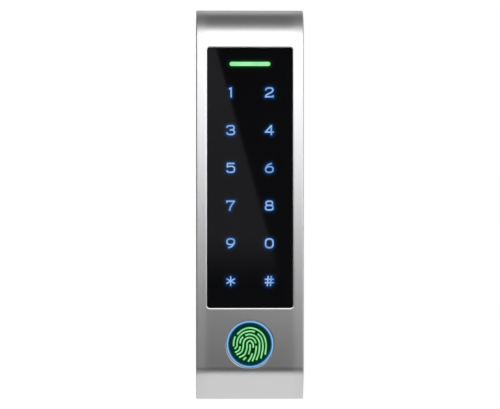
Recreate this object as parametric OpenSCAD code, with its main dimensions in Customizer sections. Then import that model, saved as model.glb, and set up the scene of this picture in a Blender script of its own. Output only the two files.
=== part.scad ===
// Fingerprint scanner terminal: a slim terminal for the wall beside a door, with a lit
// touch keypad, a round lit fingerprint sensor, and a steel plate that it hangs on.
// Axes: +Z is up, -Y points out of the wall, and +X is to the right, seen from the front.
// Depths are distances from the wall: depth 0 is the wall, and case_d is the front face.

/* [Case] */
// Width of the case
case_w = 50; // [49.5:0.5:52]
// Height of the case
case_h = 182; // [182:1:188]
// Distance from the wall to the front face
case_d = 22; // [22:0.5:24]
// Radius of the rounding between the top and the front face
top_r = 15; // [13:0.5:15]
// Height of the sloping chin under the front face
chin_h = 13; // [11.5:0.5:13]
// Depth that is left at the chin's lower edge
chin_d = 11; // [11:0.5:12.5]

/* [Touch panel] */
// Width of the black panel
panel_w = 39.7; // [39:0.1:40]
// Height of the black panel
panel_h = 120.6; // [119:0.2:121]
// Height of the panel's middle above the case's middle
panel_z = 12.4; // [12:0.1:12.8]
// Radius of the panel's corners
panel_r = 1.2; // [0.8:0.1:2]

/* [Keypad] */
// Distance between the two columns of keys
key_step_x = 17.9; // [16:0.1:19]
// Distance between two rows of keys
key_step_z = 17.5; // [16.5:0.1:17.8]
// Height of the top row above the case's middle
key_top_z = 52; // [50:0.5:53]
// Height of a legend
legend_h = 4.9; // [4:0.1:5.5]
// Width of a legend's lines
legend_line = 0.85; // [0.7:0.05:0.95]

/* [Status light] */
// Length of the light bar
bar_w = 18.8; // [14:0.2:20]
// Height of the light bar
bar_h = 1.9; // [1.6:0.1:2.4]
// Height of the bar above the case's middle
bar_z = 65.2; // [64:0.2:66]

/* [Fingerprint sensor] */
// Height of the sensor's middle, from the case's middle
sensor_z = -64.8; // [-65:0.1:-64.5]
// Outer radius of the ring of light
ring_r = 11; // [10.8:0.1:11.2]
// Radius of the black window inside the ring
window_r = 9.7; // [9.5:0.1:9.8]
// Width of the lines of the fingerprint symbol
ridge_line = 0.85; // [0.7:0.05:0.95]

/* [Wall mounting] */
// Width of the mounting plate
plate_w = 44; // [42:0.5:44]
// Thickness of the plate's steel
plate_t = 1.5; // [1.2:0.1:1.6]
// Distance between the holes for a small wall box
box_screw_step = 60; // [60:0.1:60.3]
// Distance between the holes for a large wall box
gang_screw_step = 83.3; // [82:0.1:84]
// Distance between the outer holes
frame_screw_step = 140; // [136:1:142]
// Radius of the wall screws' holes
wall_hole_r = 2.25; // [2:0.05:2.5]
// Radius of the hole that the cable comes in by
cable_r = 3.2; // [2.5:0.1:3.4]

/* [Hidden] */
$fn = 48;
eps = 0.01;

// Case: the outside, and the space inside it
half_w = case_w / 2;
half_h = case_h / 2;
rim_d = 0.8;                        // the rear rim stands clear of the wall
corner_r = 0.8;
rear_wall = 2;                      // walls beside the plate and the rear cover
side_wall = 3.8;                    // walls beside the boards
front_in_d = case_d - 2.6;          // inner face of the front wall
chin_top_z = -half_h + chin_h;
bay_half_w = half_w - side_wall;
rear_half_w = half_w - rear_wall;
bay_top_z = 79.2;                   // inside height of the boards' bay
bay_bottom_z = -81.4;
hook_bay_z = 80.7;                  // floor of the bay that the hooks reach into
relief_z = half_h - 5.5;            // the top rear edge is cut back, to clear the wall
relief_angle = 20;

// Rear cover and its seal
cover_d = 4.8;
cover_t = 1.8;
cover_in_d = cover_d + cover_t;
seal_t = 0.8;
ledge_d = cover_in_d + seal_t;
cover_gap = 0.5;
cover_post_r = 2.5;
cover_post_x = 19;
cover_post_z = [-76.3, 14, 75];
cover_screw_r = 1.25;
cover_head_r = 2.2;
cover_head_t = 1.4;

// Panel and what is bonded behind it
panel_front_d = case_d - 0.2;
panel_t = 1.8;
panel_back_d = panel_front_d - panel_t;
panel_gap = 0.15;
adhesive_t = 0.2;
lip_w = 2.2;                        // lip of the case that the panel is glued to
lip_d = panel_back_d - adhesive_t;
lip_back_d = lip_d - 1.6;
inlay_t = 0.4;
key_rows = 6;
baffle_d = lip_back_d + 0.1;
baffle_t = 1.4;
touch_board_t = 1.2;
touch_board_d = baffle_d - touch_board_t;
touch_board_w = 32.8;
touch_board_h = 116;
led_t = 0.8;
antenna_t = 0.3;

// Main board
board_d = 8.6;
board_t = 1.6;
board_front_d = board_d + board_t;
board_w = 41;
board_low_z = -78.5;
board_high_z = 75;
board_post_x = 19;
board_post_z = [-36, 50];
board_post_r = 2.3;
board_screw_r = 1;
spacer_d = board_front_d;
spacer_wall = 1.6;

// Fingerprint sensor, from the front backwards
ring_front_d = case_d;
ring_flange_r = 13;
ring_flange_t = 1;
ring_seal_t = 0.8;
flange_front_d = front_in_d - ring_seal_t;
flange_back_d = flange_front_d - ring_flange_t;
window_front_d = case_d - 0.2;
window_t = 1.4;
window_back_d = window_front_d - window_t;
chip_t = 1.6;
chip_w = 12.8;
carrier_t = 2.4;
carrier_back_d = flange_back_d - carrier_t;
ring_led_r = 11.7;
sensor_board_w = 28;
sensor_board_t = 1.4;
sensor_board_d = carrier_back_d - sensor_board_t;
clamp_t = 1;
clamp_d = sensor_board_d - clamp_t;
clamp_post_x = 17.6;
clamp_post_z = 6;
clamp_post_r = 2.2;

// Mounting plate: the case tips on the hooks about tilt_axis, [depth, height]
tilt_axis = [5.8, 84];
plate_low_z = -83.5;
plate_high_z = 83.5;
hook_w = 8;
hook_x = 13;
hook_t = 1.2;
hook_top_z = tilt_axis.y - 0.5;
hook_lip_d = 7.5;
hook_lip_z = 86;
hanger_low_z = tilt_axis.y + 0.3;
hanger_half_w = 20;
tab_w = 12;
tab_t = 1.2;
tab_low_z = -86.2;
tab_end_d = 8.4;
window_half_w = 11;
window_half_h = 14;

// Locking screw, under the plate's tab, in a pocket in the case's underside
lock_d = 4.6;
lock_r = 1.5;
lock_hole_r = 1.56;
lock_head_r = 2.75;
lock_head_t = 1.7;
washer_r = 3.2;
washer_t = 0.6;
pocket_r = 3.9;
pocket_roof_z = -88.2;
pocket_wall = 1.5;
notch_r = 1.9;
washer_top_z = pocket_roof_z - 0.4;
lock_head_z = washer_top_z - washer_t;
lock_shank_l = tab_low_z + tab_t + 0.8 - lock_head_z;

// Colours
silver = [0.74, 0.75, 0.77];
gloss_black = [0.03, 0.03, 0.035];
soft_black = [0.1, 0.1, 0.11];
rubber_grey = [0.2, 0.2, 0.21];
board_green = [0.05, 0.32, 0.16];
board_black = [0.07, 0.09, 0.1];
steel = [0.6, 0.61, 0.63];
part_black = [0.14, 0.14, 0.15];
white_plastic = [0.9, 0.9, 0.88];
key_blue = [0.58, 0.76, 0.98];
ring_blue = [0.49, 0.7, 0.92];
light_green = [0.62, 0.95, 0.64];
flex_amber = [0.72, 0.45, 0.14];

// ---- Shapes that several parts use ----

// Extrudes a shape drawn in X and Z, between two depths
module layer(d0, d1) {
    rotate([90, 0, 0])
        translate([0, 0, d0])
            linear_extrude(d1 - d0)
                children();
}

// A block between two corners, each [x, depth, z]
module block(low, high) {
    translate([low.x, -high.y, low.z])
        cube([high.x - low.x, high.y - low.y, high.z - low.z]);
}

// A round bar along the depth, at [x, z]
module bar(r, d0, d1, at = [0, 0]) {
    translate([at.x, -d0, at.y])
        rotate([90, 0, 0])
            cylinder(r = r, h = d1 - d0);
}

module rounded_rect(w, h, r) {
    square([w - 2 * r, h], center = true);
    square([w, h - 2 * r], center = true);
    for (x = [-1, 1], y = [-1, 1])
        translate([x * (w / 2 - r), y * (h / 2 - r)])
            circle(r = r);
}

module rect_frame(w, h, wall, r = 0.6) {
    difference() {
        rounded_rect(w, h, r);
        rounded_rect(w - 2 * wall, h - 2 * wall, r);
    }
}

// A screw along the depth: a round head with a socket, and a shank into the case
module screw(at, head_d, head_t, head_r, shank_r, shank_l, socket_r = 0.9) {
    difference() {
        union() {
            bar(head_r, head_d, head_d + head_t, at);
            bar(shank_r, head_d + head_t - eps, head_d + head_t + shank_l, at);
        }
        translate([at.x, -head_d + eps, at.y])
            rotate([90, 0, 0])
                cylinder(r = socket_r, h = head_t * 0.6, $fn = 6);
    }
}

// ---- Lines: a ribbon of one width along points ----

function unit(v) = v / norm(v);
function way(p, i) = unit((i < len(p) - 1 ? unit(p[i + 1] - p[i]) : [0, 0])
                        + (i > 0 ? unit(p[i] - p[i - 1]) : [0, 0]));
function side(p, w) = [for (i = [0 : len(p) - 1]) let (t = way(p, i)) p[i] + w / 2 * [-t.y, t.x]];
function reversed(p) = [for (i = [len(p) - 1 : -1 : 0]) p[i]];
function ribbon(p, w) = concat(side(p, w), reversed(side(p, -w)));

// A smooth curve through the points (Catmull-Rom), with some steps between each two
function at(p, i) = p[max(0, min(len(p) - 1, i))];
function blend(a, b, c, d, t) = 0.5 * (2 * b + (c - a) * t + (2 * a - 5 * b + 4 * c - d) * t * t
                                     + (3 * b - a - 3 * c + d) * t * t * t);
function smooth(p, steps = 5) = concat(
    [for (i = [0 : len(p) - 2], s = [0 : steps - 1])
        blend(at(p, i - 1), p[i], p[i + 1], at(p, i + 2), s / steps)],
    [p[len(p) - 1]]);

module line(points, w) {
    polygon(ribbon(points, w));
}

// A closed bowl with squarish corners
function bowl(c, r) = [for (i = [0 : 27]) let (a = 360 * i / 28)
    c + [r.x * sign(cos(a)) * pow(abs(cos(a)), 0.72), r.y * sign(sin(a)) * pow(abs(sin(a)), 0.72)]];

module bowl_line(c, r, w) {
    difference() {
        polygon(bowl(c, r + [w / 2, w / 2]));
        polygon(bowl(c, r - [w / 2, w / 2]));
    }
}

// ---- Key legends ----
// Legends are drawn on half widths and half heights: [-1, -1] is the lower left of the lines' middles.

legend_half = [(legend_h * 0.88 - legend_line) / 2, (legend_h - legend_line) / 2];

function placed(p) = [for (q = p) [q.x * legend_half.x, q.y * legend_half.y]];

module straight(p) {
    line(placed(p), legend_line);
}

module curved(p) {
    line(smooth(placed(p)), legend_line);
}

module legend_1() {
    straight([[0.12, 1.2], [0.12, -1.2]]);
    straight([[0.2, 1], [-0.5, 0.72]]);
}
module legend_2() {
    curved([[-0.95, 0.42], [-0.82, 0.82], [-0.3, 1], [0.4, 1], [0.88, 0.82], [0.92, 0.4],
            [0.55, 0.02], [-0.3, -0.35], [-0.85, -0.68], [-1, -1.2]]);
    straight([[-1.25, -1], [1.25, -1]]);
    straight([[1, -1], [1, -0.6]]);
}
module legend_3() {
    curved([[-1, 0.5], [-0.9, 0.8], [-0.5, 0.98], [0, 1], [0.5, 0.98], [0.85, 0.8],
            [0.88, 0.4], [0.6, 0.12], [0.2, 0.06]]);
    curved([[-0.3, 0.05], [0.4, 0.04], [0.86, -0.14], [1, -0.5], [0.84, -0.84], [0.4, -0.99],
            [-0.2, -1], [-0.65, -0.94], [-0.95, -0.75], [-1.02, -0.42]]);
}
module legend_4() {
    straight([[0.6, 1.1], [-1.05, -0.48]]);
    straight([[-1.25, -0.45], [1.25, -0.45]]);
    straight([[0.55, 1.2], [0.55, -1.2]]);
}
module legend_5() {
    straight([[-1.05, 1], [1.05, 1]]);
    straight([[-0.85, 1], [-0.9, 0.08]]);
    curved([[-1.1, 0.18], [-0.3, 0.34], [0.4, 0.34], [0.9, 0.1], [1, -0.35], [0.86, -0.82],
            [0.35, -1], [-0.35, -1], [-0.88, -0.86], [-1, -0.5]]);
}
module legend_6() {
    curved([[0.72, 1.03], [-0.1, 0.78], [-0.72, 0.3], [-0.98, -0.25], [-0.85, -0.78], [-0.35, -1],
            [0.35, -1], [0.87, -0.78], [1, -0.35], [0.85, 0.07], [0.35, 0.27], [0, 0.28]]);
    curved([[0.1, 0.28], [-0.35, 0.24], [-0.95, -0.1]]);
}
module legend_7() {
    straight([[-1, 1.2], [-1, 0.6]]);
    straight([[-1, 1], [1.2, 1]]);
    curved([[1.02, 1.1], [0.5, 0.42], [0.05, -0.2], [-0.2, -0.7], [-0.25, -1.2]]);
}
module legend_8() {
    bowl_line([0, 0.53 * legend_half.y], [0.85 * legend_half.x, 0.47 * legend_half.y], legend_line);
    bowl_line([0, -0.48 * legend_half.y], [legend_half.x, 0.52 * legend_half.y], legend_line);
}
module legend_9() {
    rotate(180)
        legend_6();
}
module legend_0() {
    bowl_line([0, 0], legend_half, legend_line);
}
module legend_star() {
    for (angle = [90, 30, -30])
        rotate(angle)
            square([legend_h * 0.94, legend_line * 0.9], center = true);
}
module legend_hash() {
    for (x = [-0.42, 0.42])
        straight([[x - 0.14, -1.2], [x + 0.14, 1.2]]);
    for (y = [-0.36, 0.4])
        straight([[-1.25, y], [1.25, y]]);
}

module legend(i) {
    if (i == 0) legend_1();
    if (i == 1) legend_2();
    if (i == 2) legend_3();
    if (i == 3) legend_4();
    if (i == 4) legend_5();
    if (i == 5) legend_6();
    if (i == 6) legend_7();
    if (i == 7) legend_8();
    if (i == 8) legend_9();
    if (i == 9) legend_0();
    if (i == 10) legend_star();
    if (i == 11) legend_hash();
}

function key_place(i) = [(i % 2 - 0.5) * key_step_x, key_top_z - floor(i / 2) * key_step_z];

module at_keys() {
    for (i = [0 : 2 * key_rows - 1])
        translate(key_place(i))
            children();
}

module all_legends() {
    for (i = [0 : 2 * key_rows - 1])
        translate(key_place(i))
            legend(i);
}

module bar_outline(grow = 0) {
    translate([0, bar_z])
        rounded_rect(bar_w + 2 * grow, bar_h + 2 * grow, bar_h / 2 + grow - eps);
}

// ---- Fingerprint symbol: nested ridges round a core, each through a few points ----

RIDGES = [
    [[-6, 4.5], [-3.4, 6.7], [0, 7.6], [3.8, 6.5], [6.4, 3.9], [7.4, 0.6], [7.4, -2], [7, -4.9]],
    [[-6.8, 3.7], [-7.5, 1.6], [-7.6, -1]],
    [[2.4, 5.7], [-0.2, 6.1], [-3.2, 5.2], [-5.3, 3.1], [-6, 0.6], [-6.1, -1], [-7.2, -2.2]],
    [[3.5, 5], [5.2, 3], [5.9, 0.4], [5.9, -2.4], [5, -6.7]],
    [[-2.3, 4.1], [0.1, 4.6], [2.6, 3.7], [4.2, 1.4], [4.4, -1.2], [4.1, -4.1], [2.9, -7.4]],
    [[-3.1, 3.5], [-4.3, 2], [-4.6, 0.3]],
    [[-4.6, -0.9], [-5.1, -2.7], [-7, -3.8]],
    [[2.8, 0.4], [1.9, 2.3], [0, 3.1], [-2, 2.5], [-3, 0.8], [-3.2, -1.4], [-4, -3.6], [-6.3, -4.9]],
    [[2.9, -0.7], [2.8, -2.6], [2.2, -5.2], [1, -8]],
    [[1.5, -1.7], [1.4, 0.2], [0.1, 1.6], [-1.3, 0.6], [-1.5, -2], [-2.6, -4.8], [-5.1, -6.1]],
    [[0, 0], [0, -2.4], [-0.7, -4.8]],
    [[-1.7, -6], [-3.2, -7.3]],
    [[1.1, -4.2], [0.4, -6.1], [-0.9, -8.1]]
];

module print_outline() {
    translate([0, sensor_z])
        for (ridge = RIDGES)
            line(smooth(ridge, 4), ridge_line);
}

// ---- Case ----

// The case from the side, drawn with X as minus the depth and Y as the height
module side_profile() {
    polygon([[-rim_d, -half_h], [-chin_d, -half_h], [-case_d, chin_top_z],
             [-case_d, half_h - top_r], [-rim_d, half_h - top_r]]);
    translate([-case_d + top_r, half_h - top_r - eps])
        square([case_d - top_r - rim_d, top_r + eps]);
    translate([-case_d + top_r, half_h - top_r])
        circle(r = top_r, $fn = 96);
}

module case_outside() {
    intersection() {
        rotate([90, 0, 90])
            linear_extrude(case_w, center = true)
                side_profile();
        layer(rim_d, case_d + 1)
            rounded_rect(case_w, case_h, corner_r);
    }
}

module case_inside() {
    // Bay for the plate and the rear cover, open at the back
    block([-rear_half_w, -1, bay_bottom_z - 0.8], [rear_half_w, ledge_d, bay_top_z + 0.5]);
    // Bay for the boards, behind the panel and above the chin
    block([-bay_half_w, ledge_d - 1, -48], [bay_half_w, lip_back_d, bay_top_z - 2.4]);
    block([-bay_half_w, ledge_d - 1, chin_top_z - 1], [bay_half_w, front_in_d, -49.5]);
    block([-bay_half_w, ledge_d - 1, bay_bottom_z + 2], [bay_half_w, 14, -47]);
    // Bay that the plate's hooks reach into
    block([-rear_half_w, -1, hook_bay_z], [rear_half_w, 12, half_h - 2]);
    // Bay for the plate's tab, above the screw's pocket
    block([-rear_half_w, -1, pocket_roof_z + pocket_wall], [rear_half_w, 9.6, bay_bottom_z - 2.4]);
    // Room for the plate between those bays
    block([-rear_half_w, -1, -half_h + 3], [rear_half_w, 3.2, half_h - 3]);
}

module screw_pocket() {
    block([-pocket_r, -1, -half_h - 1], [pocket_r, lock_d, pocket_roof_z]);
    translate([0, -lock_d, -half_h - 1])
        cylinder(r = pocket_r, h = pocket_roof_z + half_h + 1);
    block([-notch_r, -1, -half_h], [notch_r, lock_d, tab_low_z]);
    translate([0, -lock_d, -half_h])
        cylinder(r = notch_r, h = half_h + tab_low_z);
}

// The top rear edge leans back from the wall by the angle that the case tips by
module top_relief() {
    translate([-half_w - 1, -rim_d, relief_z])
        rotate([relief_angle, 0, 0])
            cube([case_w + 2, 12, 20]);
}

module front_case() {
    color(silver)
        difference() {
            union() {
                difference() {
                    case_outside();
                    case_inside();
                }
                // Lip that hangs on the plate's hooks
                block([-hanger_half_w, tilt_axis.x - 1, hanger_low_z],
                      [hanger_half_w, tilt_axis.x + 1, half_h - 1]);
                // Posts for the rear cover, the main board and the sensor's clamp
                for (x = [-1, 1], z = cover_post_z)
                    bar(cover_post_r, cover_in_d, lip_back_d + 0.5, [x * cover_post_x, z]);
                for (x = [-1, 1], z = board_post_z)
                    bar(board_post_r, board_front_d, lip_back_d + 0.5, [x * board_post_x, z]);
                for (x = [-1, 1], z = [-1, 1])
                    bar(clamp_post_r, sensor_board_d, front_in_d + 0.5,
                        [x * clamp_post_x, sensor_z + z * clamp_post_z]);
            }
            // Seat and opening for the touch panel
            layer(lip_d, case_d + 1)
                translate([0, panel_z])
                    rounded_rect(panel_w + 2 * panel_gap, panel_h + 2 * panel_gap,
                                 panel_r + panel_gap);
            layer(lip_back_d - 1, case_d + 1)
                translate([0, panel_z])
                    rounded_rect(panel_w - 2 * lip_w, panel_h - 2 * lip_w, panel_r);
            // Hole for the sensor
            bar(ring_r + 0.05, front_in_d - 1, case_d + 1, [0, sensor_z]);
            // Threaded holes in the posts
            for (x = [-1, 1], z = cover_post_z)
                bar(cover_screw_r, cover_in_d - 1, cover_in_d + 7.6, [x * cover_post_x, z]);
            for (x = [-1, 1], z = board_post_z)
                bar(board_screw_r, board_front_d - 1, board_front_d + 5, [x * board_post_x, z]);
            for (x = [-1, 1], z = [-1, 1])
                bar(board_screw_r, sensor_board_d - 1, sensor_board_d + 4.5,
                    [x * clamp_post_x, sensor_z + z * clamp_post_z]);
            screw_pocket();
            top_relief();
        }
}

module cover_outline(grow = 0) {
    translate([0, (bay_top_z + bay_bottom_z) / 2])
        rounded_rect(2 * (rear_half_w - cover_gap + grow),
                     bay_top_z - bay_bottom_z - 0.4 + 2 * grow, 1.5 + grow);
}

module rear_cover() {
    color(soft_black)
        difference() {
            layer(cover_d, cover_in_d)
                cover_outline();
            for (x = [-1, 1], z = cover_post_z)
                bar(cover_screw_r + 0.15, cover_d - 1, cover_in_d + 1, [x * cover_post_x, z]);
            bar(6, cover_d - 1, cover_in_d + 1);
            bar(2.2, cover_d - 1, cover_in_d + 1, [0, 40]);
        }
}

module rear_seal() {
    color(rubber_grey)
        difference() {
            layer(cover_in_d, ledge_d)
                difference() {
                    cover_outline(-0.2);
                    translate([0, (bay_top_z - 2.4 + bay_bottom_z + 2) / 2])
                        rounded_rect(2 * bay_half_w, bay_top_z - bay_bottom_z - 4.4, 1);
                }
            for (x = [-1, 1], z = cover_post_z)
                bar(cover_post_r + 0.1, cover_in_d - 1, ledge_d + 1, [x * cover_post_x, z]);
        }
}

module cover_screws() {
    color(steel)
        for (x = [-1, 1], z = cover_post_z)
            screw([x * cover_post_x, z], cover_d - cover_head_t, cover_head_t, cover_head_r,
                  cover_screw_r - 0.05, cover_t + 6);
}

module cable_grommet() {
    color(rubber_grey)
        difference() {
            union() {
                bar(7.4, cover_d - 1.3, cover_d);
                bar(5.95, cover_d - eps, cover_in_d + eps);
                bar(7, cover_in_d, cover_in_d + 1.2);
            }
            bar(cable_r, cover_d - 2, cover_in_d + 2);
        }
}

module rear_label() {
    color(white_plastic)
        layer(cover_d - 0.1, cover_d)
            translate([0, -42])
                rounded_rect(30, 36, 1);
}

// ---- Touch panel and what is bonded behind it ----

module touch_panel() {
    color(gloss_black)
        difference() {
            layer(panel_back_d, panel_front_d)
                translate([0, panel_z])
                    rounded_rect(panel_w, panel_h, panel_r);
            layer(panel_front_d - inlay_t, panel_front_d + 1)
                all_legends();
            layer(panel_back_d - 1, panel_front_d + 1)
                bar_outline();
        }
}

module key_legends() {
    color(key_blue)
        layer(panel_front_d - inlay_t, panel_front_d)
            all_legends();
}

module status_bar() {
    color(light_green)
        layer(panel_back_d, panel_front_d)
            bar_outline();
}

module panel_adhesive() {
    color(part_black)
        layer(lip_d, panel_back_d)
            translate([0, panel_z])
                rect_frame(panel_w - 0.4, panel_h - 0.4, lip_w - 0.6);
}

module light_baffle() {
    color(white_plastic)
        layer(baffle_d, baffle_d + baffle_t)
            difference() {
                translate([0, panel_z])
                    rounded_rect(panel_w - 2 * lip_w - 0.5, panel_h - 2 * lip_w - 0.5, 1);
                at_keys()
                    rounded_rect(9, 9, 1);
                bar_outline(1.2);
            }
}

module key_leds() {
    color([0.85, 0.9, 1])
        layer(baffle_d, baffle_d + led_t)
            at_keys()
                for (x = [-2, 2])
                    translate([x, 0])
                        square([1.6, 0.8], center = true);
}

module status_leds() {
    color([0.85, 1, 0.85])
        layer(baffle_d, baffle_d + led_t)
            for (x = [-6, 0, 6])
                translate([x, bar_z])
                    square([1.6, 1.2], center = true);
}

module touch_board() {
    color(board_black)
        layer(touch_board_d, baffle_d)
            translate([0, panel_z])
                rounded_rect(touch_board_w, touch_board_h, 1);
}

module touch_chip() {
    color(part_black)
        layer(touch_board_d - 1, touch_board_d)
            translate([0, 43])
                square([6, 6], center = true);
}

module card_antenna() {
    color([0.72, 0.42, 0.2])
        layer(touch_board_d - antenna_t, touch_board_d)
            translate([0, panel_z])
                rect_frame(touch_board_w - 1, touch_board_h - 1, 1.8, 1.8);
}

// Frame that backs the touch board, so that it doesn't bend under a finger
module board_spacer() {
    color(part_black)
        difference() {
            layer(spacer_d, touch_board_d - antenna_t)
                translate([0, panel_z]) {
                    rect_frame(touch_board_w - 1, touch_board_h - 1, spacer_wall, 1);
                    for (z = [-28, 4.2, 53.6])
                        translate([0, z])
                            square([touch_board_w - 2, spacer_wall], center = true);
                }
            // Ways through for the flat cable at the bottom, and past the boards' posts
            layer(spacer_d - 1, spacer_d + 2)
                translate([0, panel_z - touch_board_h / 2])
                    square([14, 6], center = true);
            for (x = [-1, 1], z = board_post_z)
                bar(board_post_r + 0.3, spacer_d - 1, touch_board_d + 1, [x * board_post_x, z]);
            for (x = [-1, 1], z = cover_post_z)
                bar(cover_post_r + 0.3, spacer_d - 1, touch_board_d + 1, [x * cover_post_x, z]);
        }
}

// Flat cable from the touch board's back to a socket on the main board
module board_flex() {
    color(flex_amber) {
        block([-4, touch_board_d - 0.9, 34], [4, touch_board_d - 0.7, 37.8]);
        block([-4, board_front_d + 1.2, 33.8], [4, touch_board_d - 0.7, 34]);
        block([-4, board_front_d + 1, 31], [4, board_front_d + 1.2, 34]);
    }
}

// ---- Main board and its components ----

module main_board() {
    color(board_green)
        difference() {
            layer(board_d, board_front_d)
                translate([0, (board_low_z + board_high_z) / 2])
                    rounded_rect(board_w, board_high_z - board_low_z, 1);
            for (x = [-1, 1], z = cover_post_z)
                bar(cover_post_r + 0.3, board_d - 1, board_front_d + 1, [x * cover_post_x, z]);
            for (x = [-1, 1], z = board_post_z)
                bar(board_screw_r + 0.2, board_d - 1, board_front_d + 1, [x * board_post_x, z]);
            // Opening that the cable passes through
            layer(board_d - 1, board_front_d + 1)
                rounded_rect(12, 14, 2);
        }
}

module board_screws() {
    color(steel)
        for (x = [-1, 1], z = board_post_z)
            screw([x * board_post_x, z], board_d - 1.2, 1.2, 1.9, board_screw_r - 0.05,
                  board_t + 4, 0.75);
}

// A flat component on the main board's front, at [x, z]
module on_board(at, w, h, t) {
    layer(board_front_d, board_front_d + t)
        translate(at)
            square([w, h], center = true);
}

module processor() {
    color(part_black)
        on_board([-9.5, 24], 9, 9, 1.2);
}

module memory_chip() {
    color(part_black)
        on_board([10, 24], 8, 5, 1);
}

module card_reader_chip() {
    color(part_black)
        on_board([-9, 56], 5, 5, 0.9);
}

module door_relay() {
    color([0.85, 0.83, 0.76])
        on_board([9, -26], 6.5, 10, 5.2);
}

module buzzer() {
    color(part_black)
        difference() {
            bar(5.5, board_front_d, board_front_d + 4.8, [-7, -28]);
            bar(0.9, board_front_d + 3.4, board_front_d + 6, [-7, -28]);
        }
}

module filter_capacitors() {
    color(silver)
        for (x = [-10, 10]) {
            on_board([x, 5], 6.6, 6.6, 0.9);
            bar(3.1, board_front_d + 0.9, board_front_d + 5.8, [x, 5]);
        }
}

module power_inductor() {
    color([0.3, 0.3, 0.32])
        on_board([0, 60], 7, 7, 3.2);
}

module clock_cell() {
    color(steel)
        bar(6.2, board_front_d + 0.9, board_front_d + 2.9, [8, 47]);
}

module cell_clip() {
    color([0.8, 0.78, 0.7]) {
        on_board([8, 47], 8, 12.8, 0.9);
        block([7, board_front_d + 2.9, 40], [9, board_front_d + 3.2, 54]);
        for (z = [40, 53.5])
            block([7, board_front_d, z], [9, board_front_d + 2.9, z + 0.5]);
    }
}

// Socket that the cable's wires plug into, beside the board's opening
module cable_header() {
    color(white_plastic)
        difference() {
            on_board([0, 12], 14, 4.6, 4);
            for (i = [0 : 5])
                block([-6.1 + 2 * i, board_front_d + 1, 11], [-4.5 + 2 * i, board_front_d + 5, 13]);
        }
}

// Sockets for the two flat cables
module flex_sockets() {
    color([0.86, 0.82, 0.7]) {
        difference() {
            on_board([0, 30], 10, 3, 2);
            block([-4.2, board_front_d + 0.8, 30.5], [4.2, board_front_d + 1.4, 32]);
        }
        difference() {
            on_board([0, -44], 9, 3, 2);
            block([-3.2, board_front_d + 0.8, -46], [3.2, board_front_d + 1.4, -44.5]);
        }
        difference() {
            layer(touch_board_d - 1.6, touch_board_d)
                translate([0, 38.2])
                    square([10, 2.4], center = true);
            block([-4.2, touch_board_d - 1.1, 36.5], [4.2, touch_board_d - 0.5, 38]);
        }
    }
}

// Light sensor that looks at the wall through the rear cover
module tamper_sensor() {
    color(part_black) {
        layer(board_d - 1.4, board_d)
            translate([0, 40])
                square([5, 4], center = true);
        bar(1.6, cover_d + 0.3, board_d - 1.4 + eps, [0, 40]);
    }
}

// ---- Fingerprint sensor ----

module ring_light() {
    color(ring_blue)
        difference() {
            union() {
                bar(ring_r, flange_back_d, ring_front_d, [0, sensor_z]);
                bar(ring_flange_r, flange_back_d, flange_front_d, [0, sensor_z]);
            }
            bar(window_r + 0.05, flange_back_d - 1, ring_front_d + 1, [0, sensor_z]);
        }
}

module ring_seal() {
    color(rubber_grey)
        difference() {
            bar(ring_flange_r, flange_front_d, front_in_d, [0, sensor_z]);
            bar(ring_r + 0.1, flange_front_d - 1, front_in_d + 1, [0, sensor_z]);
        }
}

module sensor_window() {
    color(gloss_black)
        difference() {
            bar(window_r, window_back_d, window_front_d, [0, sensor_z]);
            layer(window_front_d - inlay_t, window_front_d + 1)
                print_outline();
        }
}

module print_symbol() {
    color(light_green)
        layer(window_front_d - inlay_t, window_front_d)
            print_outline();
}

module sensor_chip() {
    color([0.2, 0.22, 0.26])
        layer(window_back_d - chip_t, window_back_d)
            translate([0, sensor_z])
                square(chip_w, center = true);
}

module sensor_carrier() {
    color(soft_black)
        difference() {
            union() {
                bar(window_r, flange_back_d - eps, window_back_d, [0, sensor_z]);
                bar(ring_flange_r, carrier_back_d, flange_back_d, [0, sensor_z]);
            }
            layer(window_back_d - chip_t, window_back_d + 1)
                translate([0, sensor_z])
                    square(chip_w + 0.2, center = true);
            // Slot for the chip's leads
            layer(carrier_back_d - 1, window_back_d)
                translate([0, sensor_z - 4])
                    square([8, 2], center = true);
            for (i = [0 : 7])
                bar(1.2, carrier_back_d - 1, flange_back_d + 1,
                    [ring_led_r * cos(45 * i), sensor_z + ring_led_r * sin(45 * i)]);
        }
}

module ring_leds() {
    color([0.8, 0.9, 1])
        layer(carrier_back_d, carrier_back_d + led_t)
            for (i = [0 : 7])
                translate([ring_led_r * cos(45 * i), sensor_z + ring_led_r * sin(45 * i)])
                    square([1.6, 0.8], center = true);
}

module sensor_board() {
    color(board_black)
        layer(sensor_board_d, carrier_back_d)
            translate([0, sensor_z])
                rounded_rect(sensor_board_w, sensor_board_w, 1);
}

module sensor_clamp() {
    color(steel)
        difference() {
            layer(clamp_d, sensor_board_d)
                translate([0, sensor_z])
                    difference() {
                        rounded_rect(2 * clamp_post_x + 5, 2 * clamp_post_z + 5, 2);
                        rounded_rect(20, 10, 1.5);
                    }
            for (x = [-1, 1], z = [-1, 1])
                bar(board_screw_r + 0.2, clamp_d - 1, sensor_board_d + 1,
                    [x * clamp_post_x, sensor_z + z * clamp_post_z]);
        }
}

module clamp_screws() {
    color(steel)
        for (x = [-1, 1], z = [-1, 1])
            screw([x * clamp_post_x, sensor_z + z * clamp_post_z], clamp_d - 0.9, 0.9, 1.8,
                  board_screw_r - 0.05, clamp_t + 4, 0.7);
}

// Flat cable from the sensor's board up to the main board
module sensor_flex() {
    color(flex_amber) {
        block([-3, clamp_d - 0.4, -62], [3, sensor_board_d, -61.8]);
        block([-3, clamp_d - 0.4, -62], [3, clamp_d - 0.2, -48]);
        block([-3, board_front_d + 1, -48.2], [3, clamp_d - 0.2, -48]);
        block([-3, board_front_d + 1, -48], [3, board_front_d + 1.2, -45]);
    }
}

// ---- Wall side ----

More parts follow.
